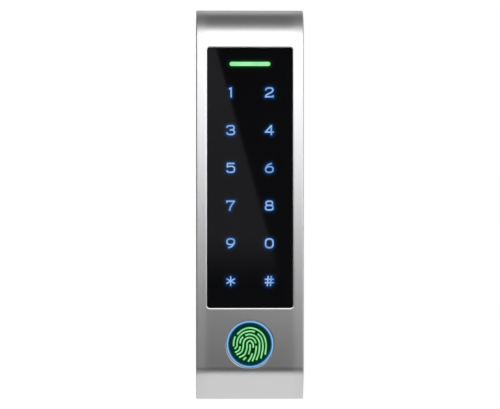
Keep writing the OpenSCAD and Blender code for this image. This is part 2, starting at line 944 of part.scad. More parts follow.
module hook(x) {
    block([x - hook_w / 2, 0, hook_top_z - hook_t], [x + hook_w / 2, hook_lip_d + hook_t, hook_top_z]);
    block([x - hook_w / 2, hook_lip_d, hook_top_z - hook_t],
          [x + hook_w / 2, hook_lip_d + hook_t, hook_lip_z]);
}

module mounting_plate() {
    color(steel)
        difference() {
            union() {
                layer(0, plate_t)
                    translate([0, (plate_low_z + plate_high_z) / 2])
                        rounded_rect(plate_w, plate_high_z - plate_low_z, 3);
                for (x = [-1, 1])
                    hook(x * hook_x);
                block([-tab_w / 2, 0, tab_low_z], [tab_w / 2, plate_t, plate_low_z + 4]);
                block([-tab_w / 2, 0, tab_low_z], [tab_w / 2, tab_end_d, tab_low_z + tab_t]);
            }
            // Window for the cable
            layer(-1, plate_t + 1)
                rounded_rect(2 * window_half_w, 2 * window_half_h, 3);
            for (step = [box_screw_step, gang_screw_step, frame_screw_step], z = [-1, 1])
                bar(wall_hole_r, -1, plate_t + 1, [0, z * step / 2]);
            translate([0, -lock_d, tab_low_z - 1])
                cylinder(r = lock_hole_r, h = tab_t + 2);
        }
}

module lock_washer() {
    color(steel)
        translate([0, -lock_d, lock_head_z])
            difference() {
                cylinder(r = washer_r, h = washer_t);
                translate([0, 0, -1])
                    cylinder(r = lock_r + 0.08, h = washer_t + 2);
            }
}

// A pan head with a six-lobed socket that has a pin in it
module lock_screw() {
    color(steel)
        translate([0, -lock_d, lock_head_z - lock_head_t])
            union() {
                difference() {
                    union() {
                        cylinder(r = lock_head_r, h = lock_head_t);
                        cylinder(r = lock_r, h = lock_head_t + lock_shank_l);
                    }
                    for (i = [0 : 5])
                        rotate(60 * i)
                            translate([0.95, 0, -1])
                                cylinder(r = 0.4, h = 2);
                    translate([0, 0, -1])
                        cylinder(r = 0.95, h = 2);
                }
                cylinder(r = 0.35, h = 1.2);
            }
}

mounting_plate();
lock_washer();
lock_screw();
front_case();
rear_cover();
rear_seal();
cover_screws();
cable_grommet();
rear_label();
touch_panel();
key_legends();
status_bar();
panel_adhesive();
light_baffle();
key_leds();
status_leds();
touch_board();
touch_chip();
card_antenna();
board_spacer();
board_flex();
main_board();
board_screws();
processor();
memory_chip();
card_reader_chip();
door_relay();
buzzer();
filter_capacitors();
power_inductor();
clock_cell();
cell_clip();
cable_header();
flex_sockets();
tamper_sensor();
ring_light();
ring_seal();
sensor_window();
print_symbol();
sensor_chip();
sensor_carrier();
ring_leds();
sensor_board();
sensor_clamp();
clamp_screws();
sensor_flex();
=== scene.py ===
"""Looks of a slim fingerprint terminal: a satin metal case with a black touch panel, lit
legends, a status bar, and a round fingerprint sensor in a ring of light, on its wall plate.

Everything is in metres in the part's own frame: +Z is up and the front faces -Y. Depths are
distances from the wall, so a depth is minus a y.
"""

import logging
import math
from collections.abc import Callable, Iterable, Sequence
from dataclasses import dataclass, field
from enum import Enum
from typing import TypeAlias

import bmesh
import bpy
from mathutils import Matrix, Vector
from mathutils.bvhtree import BVHTree


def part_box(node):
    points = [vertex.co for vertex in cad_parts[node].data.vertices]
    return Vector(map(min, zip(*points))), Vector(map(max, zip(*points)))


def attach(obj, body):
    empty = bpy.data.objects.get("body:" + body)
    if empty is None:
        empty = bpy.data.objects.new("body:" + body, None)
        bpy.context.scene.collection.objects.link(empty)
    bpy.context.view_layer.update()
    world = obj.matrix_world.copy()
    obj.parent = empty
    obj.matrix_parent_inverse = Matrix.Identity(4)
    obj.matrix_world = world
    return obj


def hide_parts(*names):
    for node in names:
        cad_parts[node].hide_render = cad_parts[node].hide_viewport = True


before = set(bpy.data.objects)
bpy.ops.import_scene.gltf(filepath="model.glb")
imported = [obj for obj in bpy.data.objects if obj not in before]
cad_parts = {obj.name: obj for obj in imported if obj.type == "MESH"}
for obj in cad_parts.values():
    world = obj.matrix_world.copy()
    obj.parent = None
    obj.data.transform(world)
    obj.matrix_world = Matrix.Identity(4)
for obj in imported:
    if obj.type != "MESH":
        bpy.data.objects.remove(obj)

LOG = logging.getLogger("terminal")
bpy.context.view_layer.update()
Colour = tuple[float, float, float]
Point = tuple[float, float]
Paint = dict[str, object]
Socket = bpy.types.NodeSocket
Thing = bpy.types.Object
Mesh = bpy.types.Mesh
Term: TypeAlias = "Signal | float"
# Screws: distance from the middle, and heights
COVER_X, COVER_Z, BOARD_Z = 0.019, (-0.0763, 0.014, 0.075), (-0.036, 0.050)
SENSOR_Z = -0.0648
CLAMP_X, CLAMP_Z = 0.0176, (SENSOR_Z - 0.006, SENSOR_Z + 0.006)
# Keys: distance from the middle, height of the top row, and from row to row
KEY_X, KEY_TOP, KEY_STEP = 0.00895, 0.052, 0.0175


# ---- Node sheets: materials written as Python expressions ----


def maths(operation: str, swapped: bool = False) -> Callable[["Signal", Term], "Signal"]:
    """Makes a method of Signal that adds one Math node with two inputs.

    Args:
        operation: name of the Math node's operation.
        swapped: whether the other number comes first.

    Returns:
        The method.
    """

    def method(self: "Signal", other: Term) -> "Signal":
        """Adds the node and returns its result."""
        terms = (other, self) if swapped else (self, other)
        node = self.sheet.node("Math", {"operation": operation}, dict(enumerate(terms)))
        return Signal(self.sheet, node.outputs[0])

    return method


class Signal:
    """A number that changes over a surface; arithmetic on it adds Math nodes to its sheet."""

    def __init__(self, sheet: "Sheet", socket: Socket) -> None:
        """Keeps the sheet and the socket that carries the number."""
        self.sheet = sheet
        self.socket = socket

    __add__ = __radd__ = maths("ADD")
    __mul__ = __rmul__ = maths("MULTIPLY")
    __sub__ = maths("SUBTRACT")
    __rsub__ = maths("SUBTRACT", swapped=True)
    __pow__ = maths("POWER")
    most = maths("MAXIMUM")

    def size(self) -> "Signal":
        """The number without its sign."""
        node = self.sheet.node("Math", {"operation": "ABSOLUTE"}, {0: self})
        return Signal(self.sheet, node.outputs[0])

    def ramp(self, low: float, high: float, start: float = 0.0, end: float = 1.0) -> "Signal":
        """Goes smoothly from start to end as the number goes from low to high.

        Args:
            low: where the change starts.
            high: where it is complete.
            start: value below low.
            end: value above high.

        Returns:
            The eased number.
        """
        values = {"Value": self, "From Min": low, "From Max": high, "To Min": start, "To Max": end}
        node = self.sheet.node("MapRange", {"interpolation_type": "SMOOTHSTEP"}, values)
        return Signal(self.sheet, node.outputs["Result"])


class Tree:
    """A node tree, with one method that adds any node."""

    prefix = "ShaderNode"

    def __init__(self, tree: bpy.types.NodeTree) -> None:
        """Keeps the tree."""
        self.tree = tree

    def node(self, kind: str, settings: dict | None = None, values: dict | None = None) -> bpy.types.Node:
        """Adds a node.

        Args:
            kind: its type, without the prefix.
            settings: properties, which are set first.
            values: a number, colour, socket or Signal for each input, by name or position.

        Returns:
            The node.
        """
        node = self.tree.nodes.new(self.prefix + kind)
        for name, value in (settings or {}).items():
            setattr(node, name, value)
        for name, value in (values or {}).items():
            self.join(value, node.inputs[name])
        return node

    def join(self, value: object, socket: Socket) -> None:
        """Links or sets one input.

        Args:
            value: a Signal, a socket, a number, or a colour or vector.
            socket: the input.
        """
        source = value.socket if isinstance(value, Signal) else value
        if isinstance(source, Socket):
            self.tree.links.new(source, socket)
        elif isinstance(source, (int, float)):
            socket.default_value = source
        else:
            long = len(socket.default_value)
            socket.default_value = (*source, 1.0)[:long] if len(source) < long else tuple(source)[:long]


class Sheet(Tree):
    """The node sheet of one material or world."""

    def __init__(self, tree: bpy.types.NodeTree) -> None:
        """Clears the tree and keeps it."""
        super().__init__(tree)
        self.tree.nodes.clear()
        self._object: Socket | None = None

    def places(self) -> Socket:
        """Object coordinates, in metres."""
        if self._object is None:
            self._object = self.node("TexCoord").outputs["Object"]
        return self._object

    def axes(self) -> tuple[Signal, Signal, Signal]:
        """The three object coordinates as numbers."""
        node = self.node("SeparateXYZ", values={0: self.places()})
        return tuple(Signal(self, out) for out in node.outputs)

    def stretched(self, scale: Colour, turn: Colour = (0, 0, 0)) -> Socket:
        """Object coordinates, scaled and turned."""
        values = {"Vector": self.places(), "Scale": scale, "Rotation": turn}
        return self.node("Mapping", values=values).outputs[0]

    def noise(self, scale: float, detail: float = 2.0, where: object = None) -> Signal:
        """Cloudy noise.

        Args:
            scale: number of clouds in a metre.
            detail: number of finer layers.
            where: coordinates, or None for the object's.

        Returns:
            Noise about one half.
        """
        values = {"Vector": where or self.places(), "Scale": scale, "Detail": detail}
        return Signal(self, self.node("TexNoise", values=values).outputs[0])

    def cells(self, scale: float, feature: str = "F1") -> Signal:
        """Distances in a pattern of cells."""
        values = {"Vector": self.places(), "Scale": scale}
        node = self.node("TexVoronoi", {"feature": feature}, values)
        return Signal(self, node.outputs["Distance"])

    def lines(self, scale: float, axis: str) -> Signal:
        """Lines across an axis."""
        settings = {"wave_type": "BANDS", "bands_direction": axis, "wave_profile": "SIN"}
        values = {"Vector": self.places(), "Scale": scale, "Distortion": 0.0, "Detail": 1.0}
        return Signal(self, self.node("TexWave", settings, values).outputs["Fac"])

    def painted(self, name: str) -> Signal:
        """A number that the mesh carries at its points."""
        return Signal(self, self.node("Attribute", {"attribute_name": name}).outputs["Fac"])

    def mix(self, share: Term, low: object, high: object, how: str = "MIX") -> Socket:
        """Mixes two colours.

        Args:
            share: share of the second colour.
            low: the first colour.
            high: the second colour.
            how: the Mix node's blend type.

        Returns:
            The mixed colour's socket.
        """
        node = self.node("Mix", {"data_type": "RGBA", "blend_type": how})
        for value, socket in ((share, node.inputs[0]), (low, node.inputs[6]), (high, node.inputs[7])):
            self.join(value, socket)
        return node.outputs[2]

    def bump(self, height: Signal, depth: float) -> Socket:
        """A bump from a height between 0 and 1, which are depth metres apart."""
        return self.node("Bump", values={"Height": height, "Distance": depth, "Strength": 1.0}).outputs[0]


def dim(colour: Colour, share: float) -> Colour:
    """A share of a colour."""
    return tuple(share * c for c in colour)


# ---- Finishes ----


@dataclass(frozen=True)
class Finish:
    """A finish that pieces are dressed in; each kind paints its own sheet."""

    name: str

    def paint(self, sheet: Sheet) -> Paint:
        """Returns what goes into the surface shader's inputs, by name."""
        raise NotImplementedError

    def material(self) -> bpy.types.Material:
        """Makes the material, or finds the one that was made before.

        Returns:
            The material.
        """
        name = self.name + "_finish"
        found = bpy.data.materials.get(name)
        if found is not None:
            return found
        made = bpy.data.materials.new(name)
        made.use_nodes = True
        sheet = Sheet(made.node_tree)
        shader = sheet.node("BsdfPrincipled", values=self.paint(sheet))
        sheet.node("OutputMaterial", values={"Surface": shader.outputs[0]})
        return made


@dataclass(frozen=True)
class SatinMetal(Finish):
    """Blasted and satin plated die casting: a fine even grain, with the middle a little smoother than the
    long edges.
    """

    colour: Colour = (0.80, 0.80, 0.81)
    rough: float = 0.445
    grain: float = 4200.0
    smoother: float = 0.065
    margin: Point = (0.0185, 0.0225)

    def paint(self, sheet: Sheet) -> Paint:
        """Fine grain in the height, slow clouds in the sheen, and a duller margin by the long edges."""
        clouds = sheet.noise(38.0, 3.0)
        grain = sheet.noise(self.grain, 2.0)
        pits = sheet.cells(2600.0)
        tone = sheet.mix(clouds, dim(self.colour, 0.965), self.colour)
        tone = sheet.mix(grain * 0.10, tone, dim(self.colour, 0.7))
        height = grain * 0.7 + pits * 0.3
        margin = sheet.axes()[0].size().ramp(self.margin[0], self.margin[1], self.smoother, 0.0)
        return {
            "Base Color": tone,
            "Metallic": 1.0,
            "Roughness": self.rough - 0.02 + clouds * 0.03 + grain * 0.02 - margin,
            "Normal": sheet.bump(height, 0.0000012),
        }


@dataclass(frozen=True)
class SheetSteel(Finish):
    """Zinc plated sheet: rolling lines, pale spangle, and dull patches."""

    colour: Colour = (0.62, 0.63, 0.65)
    dull: Colour = (0.45, 0.46, 0.49)
    rough: float = 0.34

    def paint(self, sheet: Sheet) -> Paint:
        """Spangle in colour and sheen, rolling lines in the height."""
        spangle = sheet.cells(420.0, "SMOOTH_F1")
        rolled = sheet.noise(900.0, 3.0, sheet.stretched((1.0, 1.0, 0.03)))
        dull = sheet.noise(55.0, 4.0).ramp(0.45, 0.75)
        tone = sheet.mix(spangle.ramp(0.1, 0.8), self.colour, dim(self.colour, 0.82))
        tone = sheet.mix(dull * 0.6, tone, self.dull)
        return {
            "Base Color": tone,
            "Metallic": 1.0,
            "Roughness": self.rough + dull * 0.14 + rolled * 0.10,
            "Normal": sheet.bump(rolled, 0.000004),
        }


@dataclass(frozen=True)
class TurnedSteel(Finish):
    """Small turned or drawn steel: fine tool rings, bright with faint stains."""

    colour: Colour = (0.66, 0.66, 0.68)
    stain: Colour = (0.50, 0.48, 0.45)
    rough: float = 0.24
    ring_step: float = 0.00012

    def paint(self, sheet: Sheet) -> Paint:
        """Tool marks in the height, stains in the colour."""
        marks = sheet.noise(1.0 / self.ring_step, 1.0)
        stain = sheet.noise(700.0, 3.0).ramp(0.45, 0.8)
        return {
            "Base Color": sheet.mix(stain * 0.5, self.colour, self.stain),
            "Metallic": 1.0,
            "Roughness": self.rough + marks * 0.12 + stain * 0.1,
            "Normal": sheet.bump(marks, 0.000002),
        }


@dataclass(frozen=True)
class Moulded(Finish):
    """Moulded plastic, rubber, film or foam: a colour with mottle, and a grain of its own depth."""

    colour: Colour = (0.02, 0.02, 0.022)
    mottle: Colour = (0.035, 0.035, 0.037)
    rough: float = 0.5
    grain: float = 2200.0
    depth: float = 0.00001
    patch: float = 90.0

    def paint(self, sheet: Sheet) -> Paint:
        """Mottle in the colour, grain in the height and the sheen."""
        patch = sheet.noise(self.patch, 3.0)
        grain = sheet.noise(self.grain, 2.0)
        tone = sheet.mix(patch.ramp(0.35, 0.7), self.colour, self.mottle)
        tone = sheet.mix(grain * 0.16, tone, dim(self.colour, 0.6))
        return {
            "Base Color": tone,
            "Roughness": self.rough - 0.06 + grain * 0.12,
            "Normal": sheet.bump(grain, self.depth),
        }


@dataclass(frozen=True)
class BlankLabel(Finish):
    """A blank printed film: a pale field inside a thin dark frame line, and no lettering."""

    centre: Colour = (0.0, 0.0, -0.042)
    half: Point = (0.0135, 0.0165)
    line: float = 0.0003
    colour: Colour = (0.62, 0.63, 0.64)
    ink: Colour = (0.08, 0.08, 0.09)

    def paint(self, sheet: Sheet) -> Paint:
        """The frame line follows the label's outline."""
        x, _, z = sheet.axes()
        beside = (x - self.centre[0]).size() - self.half[0]
        inside = beside.most((z - self.centre[2]).size() - self.half[1])
        frame_line = inside.size().ramp(self.line * 0.7, self.line, 1.0, 0.0)
        fibre = sheet.noise(3000.0, 3.0)
        tone = sheet.mix(fibre * 0.2, self.colour, dim(self.colour, 0.85))
        return {
            "Base Color": sheet.mix(frame_line, tone, self.ink),
            "Roughness": 0.36 + fibre * 0.12,
            "Normal": sheet.bump(fibre, 0.000002),
        }


@dataclass(frozen=True)
class BlackGlass(Finish):
    """Gloss black panel: a deep black, faint wiping marks, and a painted blue and green glow round the
    inlays.
    """

    colour: Colour = (0.02, 0.02, 0.024)
    blue: Colour = (0.004, 0.055, 0.19)
    green: Colour = (0.004, 0.09, 0.010)

    def paint(self, sheet: Sheet) -> Paint:
        """The painted glow comes from the two numbers that the mesh carries."""
        wipes = sheet.noise(26.0, 3.0, sheet.stretched((1.0, 1.0, 0.5), (0.0, 0.5, 0.0)))
        dust = sheet.noise(1500.0, 1.0)
        black = (0.0, 0.0, 0.0)
        # Painted glow: blue and green emission on the black glass that fades away from the lit inlays.
        blue = sheet.mix(sheet.painted("leak_blue"), black, self.blue)
        green = sheet.mix(sheet.painted("leak_green"), black, self.green)
        return {
            "Base Color": sheet.mix(wipes, self.colour, dim(self.colour, 1.5)),
            "Roughness": 0.012 + wipes * 0.012 + dust.ramp(0.6, 0.8) * 0.01,
            "Emission Color": sheet.mix(1.0, blue, green, "ADD"),
            "Emission Strength": 1.0,
            "Coat Weight": 0.3,
            "Coat Roughness": 0.03,
        }


@dataclass(frozen=True)
class LitPlastic(Finish):
    """Translucent plastic lit from behind: its light varies in slow clouds, with a milky grain."""

    core: Colour = (0.3, 0.55, 0.95)
    edge: Colour = (0.15, 0.3, 0.6)
    body: Colour = (0.1, 0.2, 0.3)
    cloud: float = 260.0

    def paint(self, sheet: Sheet) -> Paint:
        """Slow clouds between the two colours of light."""
        milk = sheet.noise(self.cloud, 2.0)
        grain = sheet.noise(3000.0, 1.0)
        light = sheet.mix(milk.ramp(0.35, 0.62), self.edge, self.core)
        return {
            "Base Color": sheet.mix(grain, self.body, dim(self.body, 0.8)),
            "Roughness": 0.2 + grain * 0.1,
            "Emission Color": light,
            "Emission Strength": 1.0,
            "Normal": sheet.bump(grain, 0.000002),
        }


@dataclass(frozen=True)
class LitRing(Finish):
    """The ring of light: bright along a line near its outer edge, dim at its inner edge."""

    centre: Colour = (0.0, 0.0, SENSOR_Z)
    bright_r: float = 0.01052
    core: Colour = (0.25, 0.50, 0.80)
    edge: Colour = (0.012, 0.055, 0.12)

    def paint(self, sheet: Sheet) -> Paint:
        """The light follows the distance from the ring's middle."""
        x, _, z = sheet.axes()
        radius = ((x - self.centre[0]) ** 2.0 + (z - self.centre[2]) ** 2.0) ** 0.5
        off = (radius - self.bright_r).size()
        spots = sheet.noise(150.0, 1.0)
        light = off.ramp(0.00012, 0.00058, 1.0, 0.0) * (0.86 + spots * 0.28)
        grain = sheet.noise(3000.0, 1.0)
        return {
            "Base Color": sheet.mix(grain, (0.02, 0.06, 0.12), (0.03, 0.07, 0.13)),
            "Roughness": 0.22 + grain * 0.1,
            "Emission Color": sheet.mix(light, self.edge, self.core),
            "Emission Strength": 1.0,
        }


@dataclass(frozen=True)
class CircuitBoard(Finish):
    """Solder mask over copper: tracks that shine through, and round bare pads."""

    mask: Colour = (0.008, 0.085, 0.035)
    track: Colour = (0.014, 0.14, 0.055)
    pad: Colour = (0.72, 0.62, 0.38)

    def paint(self, sheet: Sheet) -> Paint:
        """Tracks follow the edges of coarse cells, pads sit in fine ones."""
        tracks = sheet.cells(260.0, "DISTANCE_TO_EDGE").ramp(0.05, 0.09, 1.0, 0.0)
        pads = sheet.cells(330.0).ramp(0.10, 0.13, 1.0, 0.0)
        weave = sheet.noise(2400.0, 1.0)
        tone = sheet.mix(tracks, self.mask, self.track)
        tone = sheet.mix(weave * 0.25, tone, dim(self.mask, 0.6))
        return {
            "Base Color": sheet.mix(pads, tone, self.pad),
            "Metallic": pads * 0.9,
            "Roughness": 0.42 - pads * 0.12 + weave * 0.08,
            "Normal": sheet.bump(tracks * 0.6 + pads * 0.4, 0.00003),
        }


@dataclass(frozen=True)
class FlexFilm(Finish):
    """Amber film over parallel copper lines."""

    film: Colour = (0.42, 0.19, 0.03)
    copper: Colour = (0.75, 0.40, 0.14)

    def paint(self, sheet: Sheet) -> Paint:
        """Lines run along the cable."""
        lines = sheet.lines(320.0, "X").ramp(0.45, 0.6)
        dust = sheet.noise(1600.0, 2.0)
        return {
            "Base Color": sheet.mix(lines, self.film, self.copper),
            "Metallic": lines * 0.5,
            "Roughness": 0.3 + dust * 0.15,
            "Normal": sheet.bump(lines, 0.00001),
        }


@dataclass(frozen=True)
class PaleFloor(Finish):
    """Plain pale studio floor with a faint paper grain."""

    colour: Colour = (0.86, 0.86, 0.86)

    def paint(self, sheet: Sheet) -> Paint:
        """Paper grain only."""
        grain = sheet.noise(400.0, 3.0)
        return {
            "Base Color": sheet.mix(grain * 0.1, self.colour, (0.8, 0.8, 0.8)),
            "Roughness": 0.8 + grain * 0.1,
        }


class Palette(Enum):
    """Every finish on the terminal."""

    CASE = SatinMetal("satin_case")
    PLATE = SheetSteel("zinc_plate")
    SCREW = TurnedSteel("screw_steel")
    SOFT_BLACK = Moulded("cover_black", (0.012, 0.012, 0.013), (0.02, 0.02, 0.021), 0.56, 1500.0, 0.00003)
    RUBBER = Moulded("rubber", (0.018, 0.018, 0.019), (0.03, 0.03, 0.03), 0.75, 2600.0, 0.000014)
    FOAM = Moulded("foam_tape", (0.010, 0.010, 0.011), (0.02, 0.02, 0.02), 0.85, 3600.0, 0.00004)
    WHITE = Moulded("white_plastic", (0.78, 0.78, 0.75), (0.7, 0.7, 0.67), 0.45, 1800.0, 0.00001)
    LENS = Moulded("lamp_lens", (0.85, 0.80, 0.45), (0.9, 0.88, 0.7), 0.2, 1200.0, 0.000004, 600.0)
    CHIP = Moulded("chip_epoxy", (0.016, 0.016, 0.018), (0.028, 0.028, 0.03), 0.5, 2800.0, 0.000012)
    RELAY = Moulded("relay_shell", (0.70, 0.67, 0.57), (0.64, 0.6, 0.5), 0.4, 1300.0, 0.00001)
    IVORY = Moulded("socket_ivory", (0.72, 0.66, 0.50), (0.66, 0.6, 0.44), 0.42, 1500.0, 0.00001)
    FERRITE = Moulded("ferrite", (0.06, 0.06, 0.065), (0.09, 0.09, 0.095), 0.62, 1700.0, 0.00003)
    SLATE = Moulded("sensing_chip", (0.03, 0.036, 0.05), (0.045, 0.05, 0.065), 0.25, 2000.0, 0.000006)
    LABEL = BlankLabel("blank_label")
    # The two black panels' blue and green are the colours of the glow painted round their inlays.
    PANEL_GLASS = BlackGlass("panel_black")
    SENSOR_GLASS = BlackGlass("sensor_black", (0.008, 0.009, 0.012), (0.0, 0.045, 0.11), (0.0, 0.10, 0.004))
    KEY_LIGHT = LitPlastic("key_light", (0.28, 0.48, 0.86), (0.18, 0.34, 0.70), (0.02, 0.04, 0.08))
    BAR_LIGHT = LitPlastic("bar_light", (0.37, 0.93, 0.44), (0.31, 0.86, 0.37), (0.02, 0.08, 0.03))
    PRINT_LIGHT = LitPlastic("print_light", (0.33, 0.83, 0.39), (0.25, 0.69, 0.30), (0.02, 0.08, 0.03))
    RING_LIGHT = LitRing("ring_light")
    BOARD_GREEN = CircuitBoard("board_green")
    BOARD_BLACK = CircuitBoard("board_black", (0.010, 0.012, 0.013), (0.022, 0.025, 0.027))
    COPPER = TurnedSteel("copper", (0.85, 0.45, 0.22), (0.6, 0.3, 0.16), 0.3)
    CAN = TurnedSteel("can_metal", (0.80, 0.81, 0.82), (0.7, 0.7, 0.7), 0.3, 0.0003)
    CELL = TurnedSteel("cell_metal", (0.72, 0.71, 0.68), (0.6, 0.58, 0.54), 0.22, 0.0004)
    SPRING = TurnedSteel("spring_metal", (0.78, 0.76, 0.68), (0.6, 0.57, 0.5), 0.26, 0.0003)
    FLEX = FlexFilm("flex_film")

    def material(self) -> bpy.types.Material:
        """The finish's material."""
        return self.value.material()


# ---- Mesh helpers ----


def new_object(name: str, data: bpy.types.ID) -> Thing:
    """Puts a mesh, a lamp or a camera in the scene.

    Args:
        name: the object's name.
        data: what it shows.

    Returns:
        The object, at the origin.
    """
    made = bpy.data.objects.new(name, data)
    bpy.context.scene.collection.objects.link(made)
    return made


def mesh_of(name: str, points: Sequence[Sequence[float]], faces: Sequence[Sequence[int]]) -> Mesh:
    """Makes a mesh whose faces all point outwards.

    Args:
        name: the mesh's name.
        points: its points.
        faces: its faces, as point numbers.

    Returns:
        The mesh.
    """
    mesh = bpy.data.meshes.new(name)
    mesh.from_pydata([tuple(p) for p in points], [], [tuple(f) for f in faces])
    work = bmesh.new()
    work.from_mesh(mesh)
    bmesh.ops.remove_doubles(work, verts=work.verts, dist=1e-8)
    bmesh.ops.recalc_face_normals(work, faces=work.faces)
    work.to_mesh(mesh)
    work.free()
    return mesh


def loft(name: str, rings: Sequence[Sequence[Sequence[float]]]) -> Mesh:
    """Joins closed rings of equal length one after the other, and caps both ends.

    Args:
        name: the mesh's name.
        rings: the rings' points.

    Returns:
        A closed mesh.
    """
    count = len(rings[0])
    points = [p for ring in rings for p in ring]
    faces = [list(range(count)), list(range(len(points) - count, len(points)))]
    for r in range(len(rings) - 1):
        for i in range(count):
            j = (i + 1) % count
            faces.append([r * count + i, r * count + j, (r + 1) * count + j, (r + 1) * count + i])
    return mesh_of(name, points, faces)


def rounded(half_w: float, half_h: float, radius: float, grow: float = 0.0, steps: int = 6) -> list[Point]:
    """The outline of a rectangle with round corners.

    Args:
        half_w: half its width.
        half_h: half its height.
        radius: radius of the corners.
        grow: how far the outline is moved outwards.
        steps: segments in a corner.

    Returns:
        Points round the outline.
    """
    outline = []
    for corner, (sx, sz) in enumerate(((1, 1), (-1, 1), (-1, -1), (1, -1))):
        cx, cz = sx * (half_w - radius), sz * (half_h - radius)
        for k in range(steps + 1):
            a = math.radians(90 * corner + 90 * k / steps)
            outline.append((cx + (radius + grow) * math.cos(a), cz + (radius + grow) * math.sin(a)))
    return outline


def disc(radius: float, steps: int = 96) -> list[Point]:
    """Points round a circle."""
    turns = [math.tau * k / steps for k in range(steps)]
    return [(radius * math.cos(a), radius * math.sin(a)) for a in turns]


def at_depth(outline: Iterable[Point], depth: float, centre: Point = (0.0, 0.0)) -> list[Colour]:
    """Places an outline in the frame, at a depth from the wall."""
    return [(centre[0] + x, -depth, centre[1] + z) for x, z in outline]


def face_of(node: str) -> tuple[Point, Point]:
    """The middle and the half size of a node's box, seen from the front."""
    low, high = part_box(node)
    return ((low.x + high.x) / 2, (low.z + high.z) / 2), ((high.x - low.x) / 2, (high.z - low.z) / 2)


def box_mesh(name: str, low: Sequence[float], high: Sequence[float]) -> Mesh:
    """A block between two corners, each given as x, depth and z."""
    flat = [(low[0], low[2]), (high[0], low[2]), (high[0], high[2]), (low[0], high[2])]
    return loft(name, [at_depth(flat, low[1]), at_depth(flat, high[1])])


def carve(target: Thing, cutter: Mesh) -> None:
    """Cuts a closed mesh out of an object, and keeps the result as its mesh.

    Args:
        target: the object that is cut.
        cutter: the mesh that is cut out, which is then thrown away.
    """
    tool = new_object("cutter", cutter)
    cut = target.modifiers.new("cut", "BOOLEAN")
    cut.operation, cut.solver, cut.object = "DIFFERENCE", "EXACT", tool
    result = bpy.data.meshes.new_from_object(target.evaluated_get(bpy.context.evaluated_depsgraph_get()))
    target.modifiers.clear()
    old, target.data = target.data, result
    bpy.data.meshes.remove(old)
    bpy.data.objects.remove(tool)
    bpy.data.meshes.remove(cutter)


def add_shells(piece: Thing, shells: Iterable[Mesh]) -> None:
    """Adds meshes to a piece, and keeps each as a closed shell of its own.

    Args:
        piece: the piece.
        shells: the meshes, which are then thrown away.
    """
    work = bmesh.new()
    work.from_mesh(piece.data)
    for shell in shells:
        work.from_mesh(shell)
        bpy.data.meshes.remove(shell)
    work.to_mesh(piece.data)
    work.free()


def soften(piece: Thing, angle: float = 32.0) -> None:
    """Shades a piece smooth, with sharp edges above an angle and flat faces kept flat."""
    piece.data.shade_smooth()
    piece.data.set_sharp_from_angle(angle=math.radians(angle))
    weighted = piece.modifiers.new("weighted", "WEIGHTED_NORMAL")
    weighted.keep_sharp, weighted.weight = True, 100


def dress(piece: Thing, finish: Palette) -> None:
    """Gives a piece one material on all its faces."""
    piece.data.materials.clear()
    piece.data.materials.append(finish.material())


def place(piece: Thing, body: str, slot: str, *nodes: str) -> Thing:
    """Puts a finished piece on its body, in the place of the nodes that it stands for.

    Args:
        piece: the piece.
        body: the body that it moves with.
        slot: not used.
        nodes: the nodes that it replaces.

    Returns:
        The piece.
    """
    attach(piece, body)
    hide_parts(*nodes)
    LOG.info("%s: %d faces on %s", piece.name, len(piece.data.polygons), body)
    return piece


# ---- Case ----


